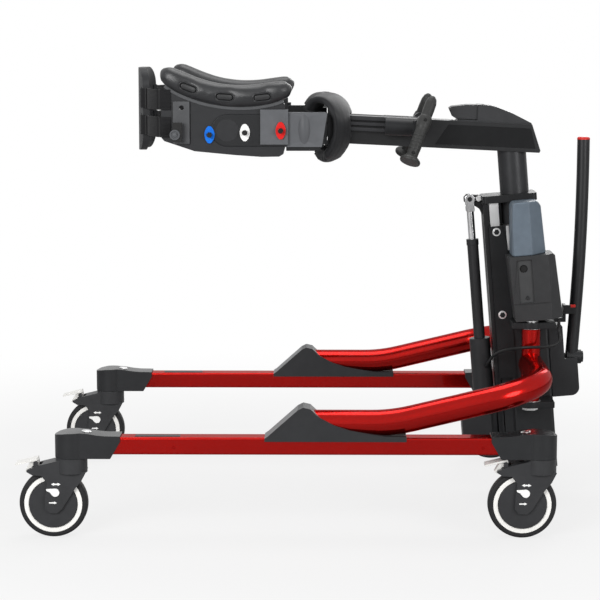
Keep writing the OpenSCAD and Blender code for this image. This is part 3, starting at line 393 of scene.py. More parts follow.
# a closed outline in X and Z, pushed out along Y and rounded
def outlinePiece(name, points, y0, y1, material, width=0.0008, steps=2):
    bm = bmesh.new()
    ring = [bm.verts.new((x, y0, z)) for x, z in points]
    base = bm.faces.new(ring)
    grown = bmesh.ops.extrude_face_region(bm, geom=[base])
    for v in grown["geom"]:
        if isinstance(v, bmesh.types.BMVert):
            v.co.y = y1
    bmesh.ops.recalc_face_normals(bm, faces=bm.faces)
    return roundEdges(meshPiece(name, bm, material), width, steps, 20)


def boxPiece(name, low, high, material, body, slot, width=0.0003, steps=2):
    bm = bmesh.new()
    bmesh.ops.create_cube(bm, size=1)
    for v in bm.verts:
        v.co = Vector([(a + b) / 2 + k * (b - a) for a, b, k in zip(low, high, v.co)])
    return place(roundEdges(meshPiece(name, bm, material), width, steps), body, slot)


# rings of points skinned into a tube, closed at both ends
def ringSkin(bm, rings, caps=True):
    rows = [[bm.verts.new(p) for p in ring] for ring in rings]
    for a, b in zip(rows, rows[1:]):
        for i in range(len(a)):
            j = (i + 1) % len(a)
            bm.faces.new((a[i], b[i], b[j], a[j]))
    if caps:
        bm.faces.new(rows[0])
        bm.faces.new(list(reversed(rows[-1])))


def ringAround(p, across, over, r, count):
    turns = [2 * math.pi * k / count for k in range(count)]
    return [p + r * (math.cos(t) * across + math.sin(t) * over) for t in turns]


# a profile of radius and height turned round the matrix's Z axis; a wall closes on itself round a bore
def turned(bm, profile, count, matrix, wall=False):
    rings = []
    for r, h in profile + profile[:1] if wall else profile:
        ring = ringAround(Vector((0, 0, h)), Vector((1, 0, 0)), Vector((0, 1, 0)), r, count)
        rings.append([matrix @ p for p in ring])
    ringSkin(bm, rings, not wall)


# the profile of a sleeve round a bore, with its outer edges cut back by c
def sleeveWall(bore, r, low, high, c):
    return [(bore, low), (r - c, low), (r, low + c), (r, high - c), (r - c, high), (bore, high)]


def sweep(bm, route, radius, count, up=Vector((0.02, 0.03, 1))):
    rings = []
    for i, p in enumerate(route):
        way = (route[min(i + 1, len(route) - 1)] - route[max(i - 1, 0)]).normalized()
        across = up.cross(way).normalized()
        r = radius[i] if isinstance(radius, list) else radius
        rings.append(ringAround(p, across, way.cross(across), r, count))
    ringSkin(bm, rings)


def bow(a, b, c, d, t):
    return a * (1 - t) ** 3 + 3 * b * t * (1 - t) ** 2 + 3 * c * t * t * (1 - t) + d * t ** 3


# motor lead from the control box round the pivot sleeve to the actuator
motorLead = {"radius": 0.003, "steps": 5, "points": [
    (474, -100, 366), (475, -101, 342), (474, -117, 328), (464, -123, 320), (448, -127, 317), (430, -127, 316),
    (410, -124, 315), (392, -115, 312), (376, -101, 307), (362, -81, 299), (352, -59, 288), (346, -39, 274),
    (342, -21.4, 261)]}


def smoothRoute(points, steps):
    route = []
    for i in range(len(points) - 1):
        p0, p1, p2, p3 = (points[max(0, min(len(points) - 1, i + k))] for k in (-1, 0, 1, 2))
        for s in range(steps):
            t = s / steps
            route.append(0.5 * (2 * p1 + (p2 - p0) * t + (2 * p0 - 5 * p1 + 4 * p2 - p3) * t * t
                                + (3 * p1 - p0 - 3 * p2 + p3) * t ** 3))
    return route + [points[-1]]


def makeLead(cfg):
    route = smoothRoute([Vector(p) / 1000 for p in cfg["points"]], cfg["steps"])
    curve = bpy.data.curves.new("motorLead", "CURVE")
    curve.dimensions = "3D"
    curve.bevel_depth = cfg["radius"]
    curve.bevel_resolution = 4
    curve.use_fill_caps = True
    spline = curve.splines.new("POLY")
    spline.points.add(len(route) - 1)
    for point, at in zip(spline.points, route):
        point.co = (*at, 1)
    curve.materials.append(finish["lead"])
    lead = place(addObject("motorLead", curve), "base", "cable", "control_cable")
    length = sum((b - a).length for a, b in zip(route, route[1:]))
    print("lead", round(length, 3), "m")


makeLead(motorLead)

# rigid nodes that keep their own shape, with the edge rounding in metres
rigid = {
    "mast_tube": ("mast", 0.0025), "guide_plates": ("bracket", 0.001), "guide_glides": ("glide", 0.0004),
    "pivot_plates": ("bracket", 0.0015), "spreader_housing": ("moulded", 0.003),
    "lift_post": ("post", 0.0008), "lift_head": ("bracket", 0.0016), "lift_channel": ("channel", 0.002),
    "slide_bar": ("bright", 0.0012), "actuator_rod": ("chrome", 0.0008),
    "handhold_clamps": ("clamp", 0.003), "prompt_hub": ("hub", 0.002), "actuator_body": ("moulded", 0.002),
    "arm_cover": ("cover", 0.003), "release_lever": ("cover", 0.0025),
    "right_handhold": ("grip", 0.001), "left_handhold": ("grip", 0.001),
    "battery": ("battery", 0.003), "back_plate": ("back", 0.004),
}
for node, (material, width) in rigid.items():
    dressNode(node, material, width)
dressNode("mast_fasteners", ["steel", "bracket"], 0.0006, 2, sideBand(0.0452, 0.06))
dressNode("control_box", ["boxCase", "boxInset"], 0.003, 3,
          lambda c, n: 1 if n.y < -0.9 and -0.1095 < c.y < -0.1065 else 0)
dressNode("accessory_rails", ["rail", "armInlay"], 0.0006, 2, sideBand(0.0425, 0.0454))
dressNode("arm_beam", ["arm", "armInlay"], 0.0018, 2, sideBand(0.0318, 0.0326, 0.9))
for side in sides:
    dressNode(side + "_rail", "red", 0.0008)
    # faces that look up and forward on the front slope take the paler grey, a painted highlight
    dressNode(side + "_gusset", ["gusset", "gussetLitSlope"], 0.0022, 3,
              lambda c, n: 1 if n.x < -0.45 and n.z > 0.3 and c.x < -0.02 else 0)
    dressNode(side + "_housings", ["moulded", "capGloss"], 0.0022, 3, lambda c, n: 1 if n.z > 0.6 else 0)
    dressNode(side + "_side_bar", ["bar", "hub"], 0.0016, 2, sideBand(-1, 0.1652))
    dressNode(side + "_side_shell", ["shell", "adjuster"], 0.003, 3,
              lambda c, n: 1 if abs(c.y) > 0.1815 and c.x < -0.22 else 0)
for end, side in casters:
    key = end + "_" + side
    dressNode(key + "_fork", "guard", 0.0018)
    dressNode(key + "_tyre", "tread", 0.0008)
    dressNode(key + "_core", "core", 0.0008)
    dressNode(key + "_pedal", "pedal", 0.0008)
print("rigid nodes dressed")

# strap studs: a coloured oval with a dark post, and the dark thumb knob
studColours = [(-0.19, "studBlue"), (-0.127, "studWhite"), (-0.06, "studRed")]


def studPaint(c, n):
    for k, (x, colour) in enumerate(studColours):
        if abs(c.x - x) < 0.018:
            return 3 if abs(c.y) > (0.1905 if k == 2 else 0.1842) else k
    return 3


for side in sides:
    dressNode(side + "_strap_studs", [c for x, c in studColours] + ["studPost"], 0.0007, 2, studPaint)

# leg tubes: along the rail, a gentle rise, then a turn in to the pivot sleeve
legTube = {"radius": 0.024, "start": -0.03, "level": 0.2112, "riseAt": 0.1084, "rise": 13.4, "riseRadius": 0.317,
           "bend": 0.1, "pivotX": 0.422, "pivotY": 0.09, "half": legHalf, "sleeve": 0.018, "bore": 0.01005,
           "sleeveLow": 0.20704, "sleeveHigh": 0.34704}


def makeLegTube(side, sign, cfg):
    rise = math.radians(cfg["rise"])
    inX = cfg["pivotX"] - cfg["bend"] * math.cos(rise)
    endX = cfg["riseAt"] + cfg["riseRadius"] * math.sin(rise)
    endZ = cfg["level"] + cfg["riseRadius"] * (1 - math.cos(rise))
    inZ = endZ + (inX - endX) * math.tan(rise)
    ahead = Vector((math.cos(rise), 0, math.sin(rise)))
    upward = Vector((-math.sin(rise), 0, math.cos(rise)))
    inward = Vector((0, -sign, 0))
    rows = []
    for x in np.linspace(cfg["start"], cfg["riseAt"], 6):
        rows.append((Vector((x, sign * cfg["half"], cfg["level"])), inward, Vector((0, 0, 1))))
    for b in np.linspace(0, rise, 7)[1:]:
        rows.append((Vector((cfg["riseAt"] + cfg["riseRadius"] * math.sin(b), sign * cfg["half"],
                             cfg["level"] + cfg["riseRadius"] * (1 - math.cos(b)))), inward,
                     Vector((-math.sin(b), 0, math.cos(b)))))
    middle = Vector((inX, sign * (cfg["half"] - cfg["bend"]), inZ))
    for b in np.linspace(0, math.pi / 2, 22):
        rows.append((middle + cfg["bend"] * (math.sin(b) * ahead - math.cos(b) * inward),
                     math.cos(b) * inward - math.sin(b) * ahead, upward))
    endAt = middle + cfg["bend"] * ahead
    for y in np.linspace(endAt.y, sign * (cfg["pivotY"] + 0.004), 5)[1:]:
        rows.append((Vector((cfg["pivotX"], y, endAt.z)), -ahead, upward))
    bm = bmesh.new()
    count = 48
    ringSkin(bm, [ringAround(p, v, u, cfg["radius"], count) for p, v, u in rows])
    wall = sleeveWall(cfg["bore"], cfg["sleeve"], cfg["sleeveLow"], cfg["sleeveHigh"], 0.0012)
    turned(bm, wall, count, Matrix.Translation((cfg["pivotX"], sign * cfg["pivotY"], 0)), True)
    bmesh.ops.remove_doubles(bm, verts=bm.verts, dist=1e-6)
    bmesh.ops.recalc_face_normals(bm, faces=bm.faces)
    piece = noteEdges(meshPiece(side + "LegTube", bm, "red"))
    place(piece, side + "_leg", "red_paint", side + "_leg_tube")


for side, sign in sides.items():
    makeLegTube(side, sign, legTube)

# spreader lever: a bent tube on a hub, with a red end cap
leverTube = {"radius": 0.01225, "x": 0.510, "lean": 0.018, "top": 0.707, "cap": 0.005, "foot": 0.020,
             "hubX": 0.5005, "hubZ": 0.27804, "hubR": 0.014, "hubLong": 0.03, "bore": 0.00705}


def makeLever(cfg):
    x, z = cfg["x"], cfg["hubZ"]
    count = 36
    steps = [0, 0.003, 0.008, 0.014, 0.022] + list(np.linspace(0.05, 1, 22))
    bends = [Vector((x, 0, z - cfg["foot"])), Vector((x + 0.008, 0, z + 0.11)),
             Vector((x + cfg["lean"], 0, z + 0.2)), Vector((x + cfg["lean"], 0, cfg["top"]))]
    route = [bow(*bends, t) for t in steps]
    bm = bmesh.new()
    sweep(bm, route, [cfg["radius"] * k for k in (0.55, 0.75, 0.9, 0.98)] + [cfg["radius"]] * (len(steps) - 4), count)
    wall = sleeveWall(cfg["bore"], cfg["hubR"], 0, cfg["hubLong"], 0.001)
    turned(bm, wall, count, Matrix.Translation((cfg["hubX"], 0, z)) @ Matrix.Rotation(math.pi / 2, 4, "Y"), True)
    bmesh.ops.remove_doubles(bm, verts=bm.verts, dist=1e-6)
    first = len(bm.faces)
    top = Matrix.Translation((x + cfg["lean"], 0, cfg["top"]))
    rim = cfg["radius"] + 0.0004
    turned(bm, [(rim, 0), (rim, 0.0025), (rim - 0.001, 0.004), (rim - 0.003, cfg["cap"])], count, top)
    bmesh.ops.recalc_face_normals(bm, faces=bm.faces)
    bm.faces.ensure_lookup_table()
    for f in bm.faces[first:]:
        f.material_index = 1
    piece = noteEdges(meshPiece("leverTube", bm, ["mast", "redCap"]))
    place(piece, "lever", "black_metal", "spreader_lever")


makeLever(leverTube)
print("tubes made")

# what repeats is set out by a small geometry tree: points that carry their own turn, and one shape on each


def repeatTree(name, shape):
    tree = bpy.data.node_groups.new(name, "GeometryNodeTree")
    face = tree.interface
    face.new_socket("Geometry", in_out="INPUT", socket_type="NodeSocketGeometry")
    for label, kind in (("Radius", "Float"), ("Height", "Float"), ("Sides", "Int"), ("Surface", "Material")):
        face.new_socket(label, in_out="INPUT", socket_type="NodeSocket" + kind)
    face.new_socket("Geometry", in_out="OUTPUT", socket_type="NodeSocketGeometry")

    def add(kind, links=None, **settings):
        made = tree.nodes.new(kind)
        for key, value in settings.items():
            setattr(made, key, value)
        for key, value in (links or {}).items():
            if isinstance(value, bpy.types.NodeSocket):
                tree.links.new(value, made.inputs[key])
            else:
                made.inputs[key].default_value = value
        return made

    given = add("NodeGroupInput").outputs
    if shape == "screw":
        small = add("ShaderNodeMath", {0: given["Radius"], 1: 0.78}, operation="MULTIPLY").outputs[0]
        solid = add("GeometryNodeMeshCone", {"Vertices": given["Sides"], "Radius Top": small,
                                             "Radius Bottom": given["Radius"],
                                             "Depth": given["Height"]}).outputs["Mesh"]
    elif shape == "stitch":
        size = add("ShaderNodeCombineXYZ", {0: given["Height"], 1: given["Radius"], 2: given["Radius"]}).outputs[0]
        ball = add("GeometryNodeMeshUVSphere", {"Segments": given["Sides"], "Rings": 5, "Radius": 1.0}).outputs["Mesh"]
        solid = add("GeometryNodeTransform", {"Geometry": ball, "Scale": size}).outputs[0]
    else:
        arc = add("GeometryNodeCurveArc", {"Resolution": 18, "Radius": given["Radius"],
                                           "Start Angle": math.radians(-72),
                                           "Sweep Angle": math.radians(144)}).outputs["Curve"]
        edge = add("GeometryNodeCurvePrimitiveCircle",
                   {"Resolution": given["Sides"], "Radius": given["Height"]}).outputs["Curve"]
        solid = add("GeometryNodeCurveToMesh", {"Curve": arc, "Profile Curve": edge, "Fill Caps": True}).outputs[0]
    turn = add("GeometryNodeInputNamedAttribute", {"Name": "turn"}, data_type="FLOAT_VECTOR").outputs["Attribute"]
    way = add("FunctionNodeEulerToRotation", {0: turn}).outputs[0]
    many = add("GeometryNodeInstanceOnPoints",
               {"Points": given["Geometry"], "Instance": solid, "Rotation": way}).outputs[0]
    real = add("GeometryNodeRealizeInstances", {0: many}).outputs[0]
    done = add("GeometryNodeSetMaterial", {"Geometry": real, "Material": given["Surface"]}).outputs[0]
    add("NodeGroupOutput", {"Geometry": done})
    return tree


repeats = {shape: repeatTree(shape + "Row", shape) for shape in ("screw", "stitch", "rib")}


# rows are (place, the shape's Z direction, its X direction)
def repeatPiece(name, shape, rows, sizes, surface, body, slot):
    mesh = bpy.data.meshes.new(name)
    mesh.from_pydata([tuple(at) for at, z, x in rows], [], [])
    turns = []
    for at, z, x in rows:
        zAxis = Vector(z).normalized()
        xAxis = (Vector(x) - zAxis * Vector(x).dot(zAxis)).normalized()
        turns += list(Matrix((xAxis, zAxis.cross(xAxis), zAxis)).transposed().to_euler())
    mesh.attributes.new("turn", "FLOAT_VECTOR", "POINT").data.foreach_set("vector", turns)
    piece = addObject(name, mesh)
    tree = repeats[shape]
    step = piece.modifiers.new("rows", "NODES")
    step.node_group = tree
    values = {"Radius": sizes[0], "Height": sizes[1], "Sides": sizes[2], "Surface": finish[surface]}
    for item in tree.interface.items_tree:
        if item.item_type == "SOCKET" and item.in_out == "INPUT" and item.name in values:
            step[item.identifier] = values[item.name]
    smoothMesh(settle(piece).data, 40)
    return place(piece, body, slot)


# places in the leaning mast, the rising arm and the chest prompt, in metres
mastFrame = {"x": 0.422, "z": 0.27704, "lean": 4.8}
armFrame = {"x": 0.38774, "z": 0.685, "rise": 2.75, "height": 0.054}
promptFrame = Vector((0.01815, 0, 0.73508))


def atMast(x, y, z):
    a = math.radians(mastFrame["lean"])
    h = z - mastFrame["z"]
    return Vector((mastFrame["x"] + x * math.cos(a) - h * math.sin(a), y,
                   mastFrame["z"] + x * math.sin(a) + h * math.cos(a)))


def atArm(x, y, z):
    a = math.radians(armFrame["rise"])
    return Vector((armFrame["x"] + x * math.cos(a) + z * math.sin(a), y,
                   armFrame["z"] - x * math.sin(a) + z * math.cos(a)))


def atPrompt(points):
    return [(promptFrame.x + x, promptFrame.z + z) for x, z in points]


# padded covers: the node's form remeshed, blown up as cloth and held to a few millimetres
padding = {"voxel": 0.0048, "pressure": 4.0, "frames": 20, "shrink": 0.0009}


def readPoints(mesh, key):
    flat = np.zeros(len(mesh.vertices) * 3)
    mesh.vertices.foreach_get(key, flat)
    return flat.reshape(-1, 3)


def puff(name, node, cap, material="pad"):
    piece = meshPiece(name, nodeMesh(node, 0.05), material, 180)
    skin = piece.modifiers.new("skin", "REMESH")
    skin.mode = "VOXEL"
    skin.voxel_size = padding["voxel"]
    ease = piece.modifiers.new("ease", "SMOOTH")
    ease.factor = 0.5
    ease.iterations = 4
    settle(piece)
    mesh = piece.data
    rest = readPoints(mesh, "co") - readPoints(mesh, "normal") * padding["shrink"]
    mesh.vertices.foreach_set("co", rest.ravel())
    mesh.update()
    cloth = piece.modifiers.new("cloth", "CLOTH")
    cloth.settings.quality = 4
    cloth.settings.mass = 0.25
    cloth.settings.use_pressure = True
    cloth.settings.uniform_pressure_force = padding["pressure"]
    cloth.settings.effector_weights.gravity = 0
    cloth.point_cache.frame_start = 1
    cloth.point_cache.frame_end = padding["frames"]
    for k in range(1, padding["frames"] + 1):
        scene.frame_set(k)
    seen = piece.evaluated_get(bpy.context.evaluated_depsgraph_get())
    move = readPoints(seen.data, "co") - rest
    piece.modifiers.clear()
    scene.frame_set(1)
    share = np.minimum(1.0, cap(rest) / np.maximum(np.linalg.norm(move, axis=1), 1e-9))
    mesh.vertices.foreach_set("co", (rest + move * share[:, None]).ravel())
    mesh.update()
    mesh.polygons.foreach_set("use_smooth", [True] * len(mesh.polygons))
    fine = piece.modifiers.new("fine", "SUBSURF")
    fine.levels = 1
    fine.render_levels = 1
    return settle(piece)


def frontCap(rest):
    near = (np.abs(rest[:, 1]) < 0.058) & (rest[:, 0] > 0.02)
    inside = np.abs(rest[:, 0] - 0.02) + np.abs(rest[:, 2] - 0.735) < 0.05
    return np.where(near | inside, 0.0008, 0.0055)


frontPad = place(puff("frontPadCover", "front_pad", frontCap, "padFront"), "lift", "pad_fabric", "front_pad")

# side pads: the roll with three sewn slots on its outer face
sidePad = {"slots": [(-0.2315, 0.8125, -21), (-0.164, 0.7955, -4), (-0.094, 0.795, 6)],
           "length": 0.031, "height": 0.0115, "depth": 0.0042, "bead": 0.0010, "high": 0.044,
           "groove": ((0.0006, 0.0052), (0.0006, 0.0034), (-0.0010, 0.0034), (-0.0013, 0.0013), (-0.003, 0.0008),
                      (-0.0048, 0.0006)),
           "route": [Vector(p) for p in ((-0.303, 0.111), (-0.236, 0.057), (-0.134, 0.047), (-0.056, 0.080))]}


def stadium(x, z, slot, grow=0.0):
    a = math.radians(slot[2])
    dx, dz = x - slot[0], z - slot[1]
    u = dx * math.cos(a) + dz * math.sin(a)
    v = -dx * math.sin(a) + dz * math.cos(a)
    half = (sidePad["length"] - sidePad["height"]) / 2
    return math.hypot(max(0.0, abs(u) - half), v) - sidePad["height"] / 2 - grow


def stadiumPath(slot, count, grow=0.0):
    a = math.radians(slot[2])
    r = sidePad["height"] / 2 + grow
    half = (sidePad["length"] - sidePad["height"]) / 2
    path = []
    for k in range(count):
        t = 2 * math.pi * k / count
        u = r * math.cos(t) + (half if math.cos(t) > 0 else -half)
        v = r * math.sin(t)
        path.append((slot[0] + u * math.cos(a) - v * math.sin(a), slot[1] + u * math.sin(a) + v * math.cos(a)))
    return path


# a place under the roll, this far below its lower edge
def rollUnder(t, drop):
    way = (bow(*sidePad["route"], min(1, t + 0.01)) - bow(*sidePad["route"], max(0, t - 0.01))).normalized()
    reach = sidePad["high"] / 2 * (0.16 + 0.84 * math.sqrt(1 - abs(2 * t - 1) ** 7)) + drop
    at = bow(*sidePad["route"], t)
    return promptFrame.x + at.x + way.y * reach, promptFrame.z + at.y - way.x * reach


def makeSidePad(side, sign):
    pad = puff(side + "PadCover", side + "_side_pad", lambda rest: np.full(len(rest), 0.005))
    hits = BVHTree.FromObject(pad, bpy.context.evaluated_depsgraph_get())

    def outer(x, z, lift=0.0):
        at = hits.ray_cast(Vector((x, sign * 0.4, z)), Vector((0, -sign, 0)))[0]
        return Vector((x, (at.y if at else sign * 0.19) + sign * lift, z))

    bead = bmesh.new()
    for slot in sidePad["slots"]:
        loop = [outer(x, z, 0.0002) for x, z in stadiumPath(slot, 44, 0.0018)]
        rings = []
        for i, p in enumerate(loop):
            way = (loop[(i + 1) % 44] - loop[i - 1]).normalized()
            across = Vector((0, 1, 0)).cross(way).normalized()
            rings.append(ringAround(p, across, way.cross(across), sidePad["bead"], 8))
        ringSkin(bead, rings + rings[:1], caps=False)
    bmesh.ops.remove_doubles(bead, verts=bead.verts, dist=1e-6)
    bmesh.ops.recalc_face_normals(bead, faces=bead.faces)
    floorMesh = bmesh.new()
    for slot in sidePad["slots"]:
        rows = []
        for grow, drop in sidePad["groove"]:
            rows.append([floorMesh.verts.new(outer(x, z, -drop)) for x, z in stadiumPath(slot, 44, grow)])
        for k, (a, b) in enumerate(zip(rows, rows[1:])):
            for i in range(44):
                floorMesh.faces.new((a[i], b[i], b[(i + 1) % 44], a[(i + 1) % 44])).material_index = min(1, k // 3)
        floorMesh.faces.new(rows[0])
        floorMesh.faces.new(rows[-1]).material_index = 1
    bmesh.ops.recalc_face_normals(floorMesh, faces=floorMesh.faces)
    for v in pad.data.vertices:
        for slot in sidePad["slots"]:
            d = stadium(v.co.x, v.co.z, slot, 0.0015)
            if d < 0 and (v.co.y * sign) > 0.172:
                v.co.y -= sign * sidePad["depth"] * min(1.0, -d / 0.0016)
    pad.data.update()
    place(pad, side + "_arm", "pad_fabric", side + "_side_pad")
    place(meshPiece(side + "PadBeads", bead, "pad"), side + "_arm", "pad_fabric")
    place(meshPiece(side + "PadSlots", floorMesh, ["padSlot", "padInlay"]), side + "_arm", "pad_fabric")


for side, sign in sides.items():
    makeSidePad(side, sign)
print("pads made")

# back straps: flat webbing from the shell's rear edge to the back plate
backStrap = {"width": 0.038, "thick": 0.0024, "levels": (-0.015, 0.036),
             "path": [(-0.2835, 0.1816), (-0.291, 0.1816), (-0.298, 0.1814), (-0.3026, 0.1790), (-0.3042, 0.1745),
                      (-0.3062, 0.1706), (-0.310, 0.1660), (-0.319, 0.147), (-0.3275, 0.1235),
                      (-0.3325, 0.100), (-0.3348, 0.0845)],
             "loop": [(-0.3348, 0.0845), (-0.3315, 0.0795), (-0.3300, 0.0725), (-0.3345, 0.0662), (-0.3420, 0.0652),
                      (-0.3475, 0.0690), (-0.3480, 0.0760), (-0.3440, 0.0830), (-0.3380, 0.0890), (-0.3352, 0.0990)]}


def stripMesh(bm, path, low, high, thick):
    layer = bm.loops.layers.uv.get("strapMap") or bm.loops.layers.uv.new("strapMap")
    run = [0.0]
    for a, b in zip(path, path[1:]):
        run.append(run[-1] + (b - a).length)
    rings = []
    spots = {}
    for i, p in enumerate(path):
        way = (path[min(i + 1, len(path) - 1)] - path[max(0, i - 1)]).normalized()
        side = Vector((way.y, -way.x, 0))
        ring = []
        cross = [(-1, 0.0008), (-0.6, 0), (0.6, 0), (1, 0.0008)]
        for half, inset in cross:
            ring.append((p + side * half * thick / 2, low + inset))
        for half, inset in reversed(cross):
            ring.append((p + side * half * thick / 2, high - inset))
        made = []
        for at, z in ring:
            v = bm.verts.new((at.x, at.y, z))
            spots[v] = (run[i], z)
            made.append(v)
        rings.append(made)
    faces = []
    for a, b in zip(rings, rings[1:]):
        for i in range(8):
            faces.append(bm.faces.new((a[i], b[i], b[(i + 1) % 8], a[(i + 1) % 8])))
    faces += [bm.faces.new(rings[0]), bm.faces.new(list(reversed(rings[-1])))]
    for f in faces:
        for loop in f.loops:
            loop[layer].uv = spots[loop.vert]


def makeStraps(side, sign):
    cfg = backStrap
    bm = bmesh.new()
    stitches = []
    main = smoothRoute([promptFrame + Vector((x, sign * y, 0)) for x, y in cfg["path"]], 6)
    hook = smoothRoute([promptFrame + Vector((x, sign * y, 0)) for x, y in cfg["loop"]], 6)
    for level in cfg["levels"]:
        low = promptFrame.z + level
        high = low + cfg["width"]
        stripMesh(bm, main if side == "right" else main[:-6], low, high, cfg["thick"])
        if side == "right":
            stripMesh(bm, hook, low + 0.0006, high - 0.0006, 0.0018)
        for z in (low + 0.003, high - 0.003):
            for i in range(1, len(main) - 10):
                way = (main[i + 1] - main[i - 1]).normalized()
                out = Vector((way.y, -way.x, 0))
                for face in (-1, 1):
                    foot = Vector((main[i].x, main[i].y, z)) + out * face * (cfg["thick"] / 2)
                    stitches.append((foot, out * face, way))
    bmesh.ops.recalc_face_normals(bm, faces=bm.faces)
    place(meshPiece(side + "Straps", bm, "web", 50), side + "_arm", "webbing", side + "_straps")
    repeatPiece(side + "StrapStitches", "stitch", stitches, (0.00035, 0.0014, 6), "thread", side + "_arm", "webbing")


for side, sign in sides.items():
    makeStraps(side, sign)

# buckle on the user's left, whose socket stays with the back plate and tongue with the left strap: one block at each
# strap level is made, carried by the right arm
strapBuckle = {"near": 0.0775, "far": 0.099, "thick": 0.0085, "x": -0.3336, "grow": 0.0025}


def makeBuckles(cfg):
    for k, level in enumerate(backStrap["levels"]):
        low = promptFrame.z + level - cfg["grow"]
        high = low + backStrap["width"] + 2 * cfg["grow"]
        x = promptFrame.x + cfg["x"]
        boxPiece("buckle%d" % k, (x - cfg["thick"] / 2, cfg["near"], low), (x + cfg["thick"] / 2, cfg["far"], high),
                 "clamp", "right_arm", "webbing", 0.0022, 3)


makeBuckles(strapBuckle)
print("straps made")

# signs on the caster cheeks: a double arrow, the direction lock's drop-shaped knob and a single arrow
casterSigns = {"cheek": 0.021, "proud": 0.0004, "knob": 0.002}


def arrowShape(x, z, length, height, both):
    stem, head = height * 0.22, height * 0.95
    tip = length / 2
    right = [(tip - head, -stem), (tip - head, -height / 2), (tip, 0), (tip - head, height / 2), (tip - head, stem)]
    if both:
        left = [(-px, -pz) for px, pz in right]
    else:
        left = [(-tip, stem), (-tip, -stem)]
    return [(x + px, z + pz) for px, pz in right + left]


def dropShape(x, z, r, tail):
    turns = np.linspace(math.radians(-150), math.radians(95), 22)
    points = [(x + r * math.cos(a), z + r * math.sin(a)) for a in turns]
    return points + [(x - tail * 0.55, z + r * 0.93), (x - tail, z + r * 0.86), (x - tail * 0.97, z + r * 0.45),
                     (x - tail * 0.62, z + r * 0.1)]


def makeSigns(cfg):
    for end, side in casters:
        x0 = casterX[end]
        signs = []
        for face in (-1, 1):
            y0 = sides[side] * legHalf + face * cfg["cheek"]
            shapes = [(arrowShape(x0 - 0.0267, 0.1004, 0.0175, 0.006, True), cfg["proud"]),
                      (dropShape(x0 - 0.028, 0.0853, 0.0075, 0.0165), cfg["knob"]),
                      (arrowShape(x0 - 0.0322, 0.066, 0.0145, 0.0055, False), cfg["proud"])]
            for points, proud in shapes:
                signs.append(outlinePiece("sign", points, y0 - face * 0.0006, y0 + face * proud, "mark", 0.0002, 1))
        bpy.ops.object.select_all(action="DESELECT")
        for piece in signs:
            piece.select_set(True)
        bpy.context.view_layer.objects.active = signs[0]
        bpy.ops.object.join()
        signs[0].name = end + "_" + side + "Signs"
        place(signs[0], "%s_%s_caster" % (end, side), "wheel_core")


makeSigns(casterSigns)
print("caster signs made")

# on each leg: a strip and two rivets on the rail, and bright discs on the housing caps
legTrim = {"railTop": 0.187, "strip": (-0.322, -0.240, 0.009), "face": 0.369, "rivets": (-0.251, 0.31), "rivetZ": 0.169,
           "discIn": 0.028, "discZ": 0.1951, "discR": 0.009}


def makeLegTrim(side, sign, cfg):
    body = side + "_leg"
    y = sign * legHalf
    x0, x1, half = cfg["strip"]
    boxPiece(side + "RailStrip", (x0, y - half, cfg["railTop"] - 0.0004), (x1, y + half, cfg["railTop"] + 0.0005),
             "strip", body, "black_plastic")
    rivets = [(Vector((x, sign * cfg["face"], cfg["rivetZ"])), (0, sign, 0), (1, 0, 0)) for x in cfg["rivets"]]
    repeatPiece(side + "RailRivets", "screw", rivets, (0.0026, 0.0014, 20), "red", body, "red_paint")
    discs = [(Vector((casterX[end] + k * cfg["discIn"], y, cfg["discZ"])), (k * 0.09, 0, 1), (1, 0, 0))
             for end, k in (("front", 1), ("rear", -1))]
    repeatPiece(side + "CapDiscs", "screw", discs, (cfg["discR"], 0.0016, 40), "steel", body, "steel")


# the thumb knob's ringed disc: radius and height from its foot to its centre
knobDisc = {"x": -0.2745, "y": 0.1995, "z": -0.0095,
            "profile": [(0.0098, 0), (0.0098, 0.0022), (0.0088, 0.0032), (0.0070, 0.0032), (0.0063, 0.0016),
                        (0.0046, 0.0016), (0.0039, 0.0036), (0.0007, 0.0042)],
            "seam": ((-0.2484, 0.1792, -0.027), (-0.2464, 0.1807, 0.0515))}


def makeKnob(side, sign, cfg):
    bm = bmesh.new()
    foot = promptFrame + Vector((cfg["x"], sign * cfg["y"], cfg["z"]))
    turned(bm, cfg["profile"], 40, Matrix.Translation(foot) @ Matrix.Rotation(-sign * math.pi / 2, 4, "X"))
    bmesh.ops.recalc_face_normals(bm, faces=bm.faces)
    place(meshPiece(side + "KnobDisc", bm, "bar"), side + "_arm", "shell_plastic")
    (x0, y0, z0), (x1, y1, z1) = cfg["seam"]
    near, far = sorted((sign * y0, sign * y1))
    boxPiece(side + "PlateSeam", promptFrame + Vector((x0, near, z0)), promptFrame + Vector((x1, far, z1)),
             "armInlay", side + "_arm", "shell_plastic")


# on each side arm: a raised panel, the lip under the pad in a paler grey that is a painted highlight, and the bar's
# dark flange; inside the front pad, its backing
armTrim = {"panel": {"x": -0.178, "z": -0.002, "r": 0.030, "end": -0.066},
           "carrier": ((-0.068, -0.0405), (-0.006, -0.0405), (-0.002, -0.032), (-0.068, -0.032)),
           "backing": {"x": -0.0049, "rx": 0.0247, "rz": 0.0452, "turn": 51,
                       "end": ((0.0102, 0.0352), (0.0102, -0.0352))}}


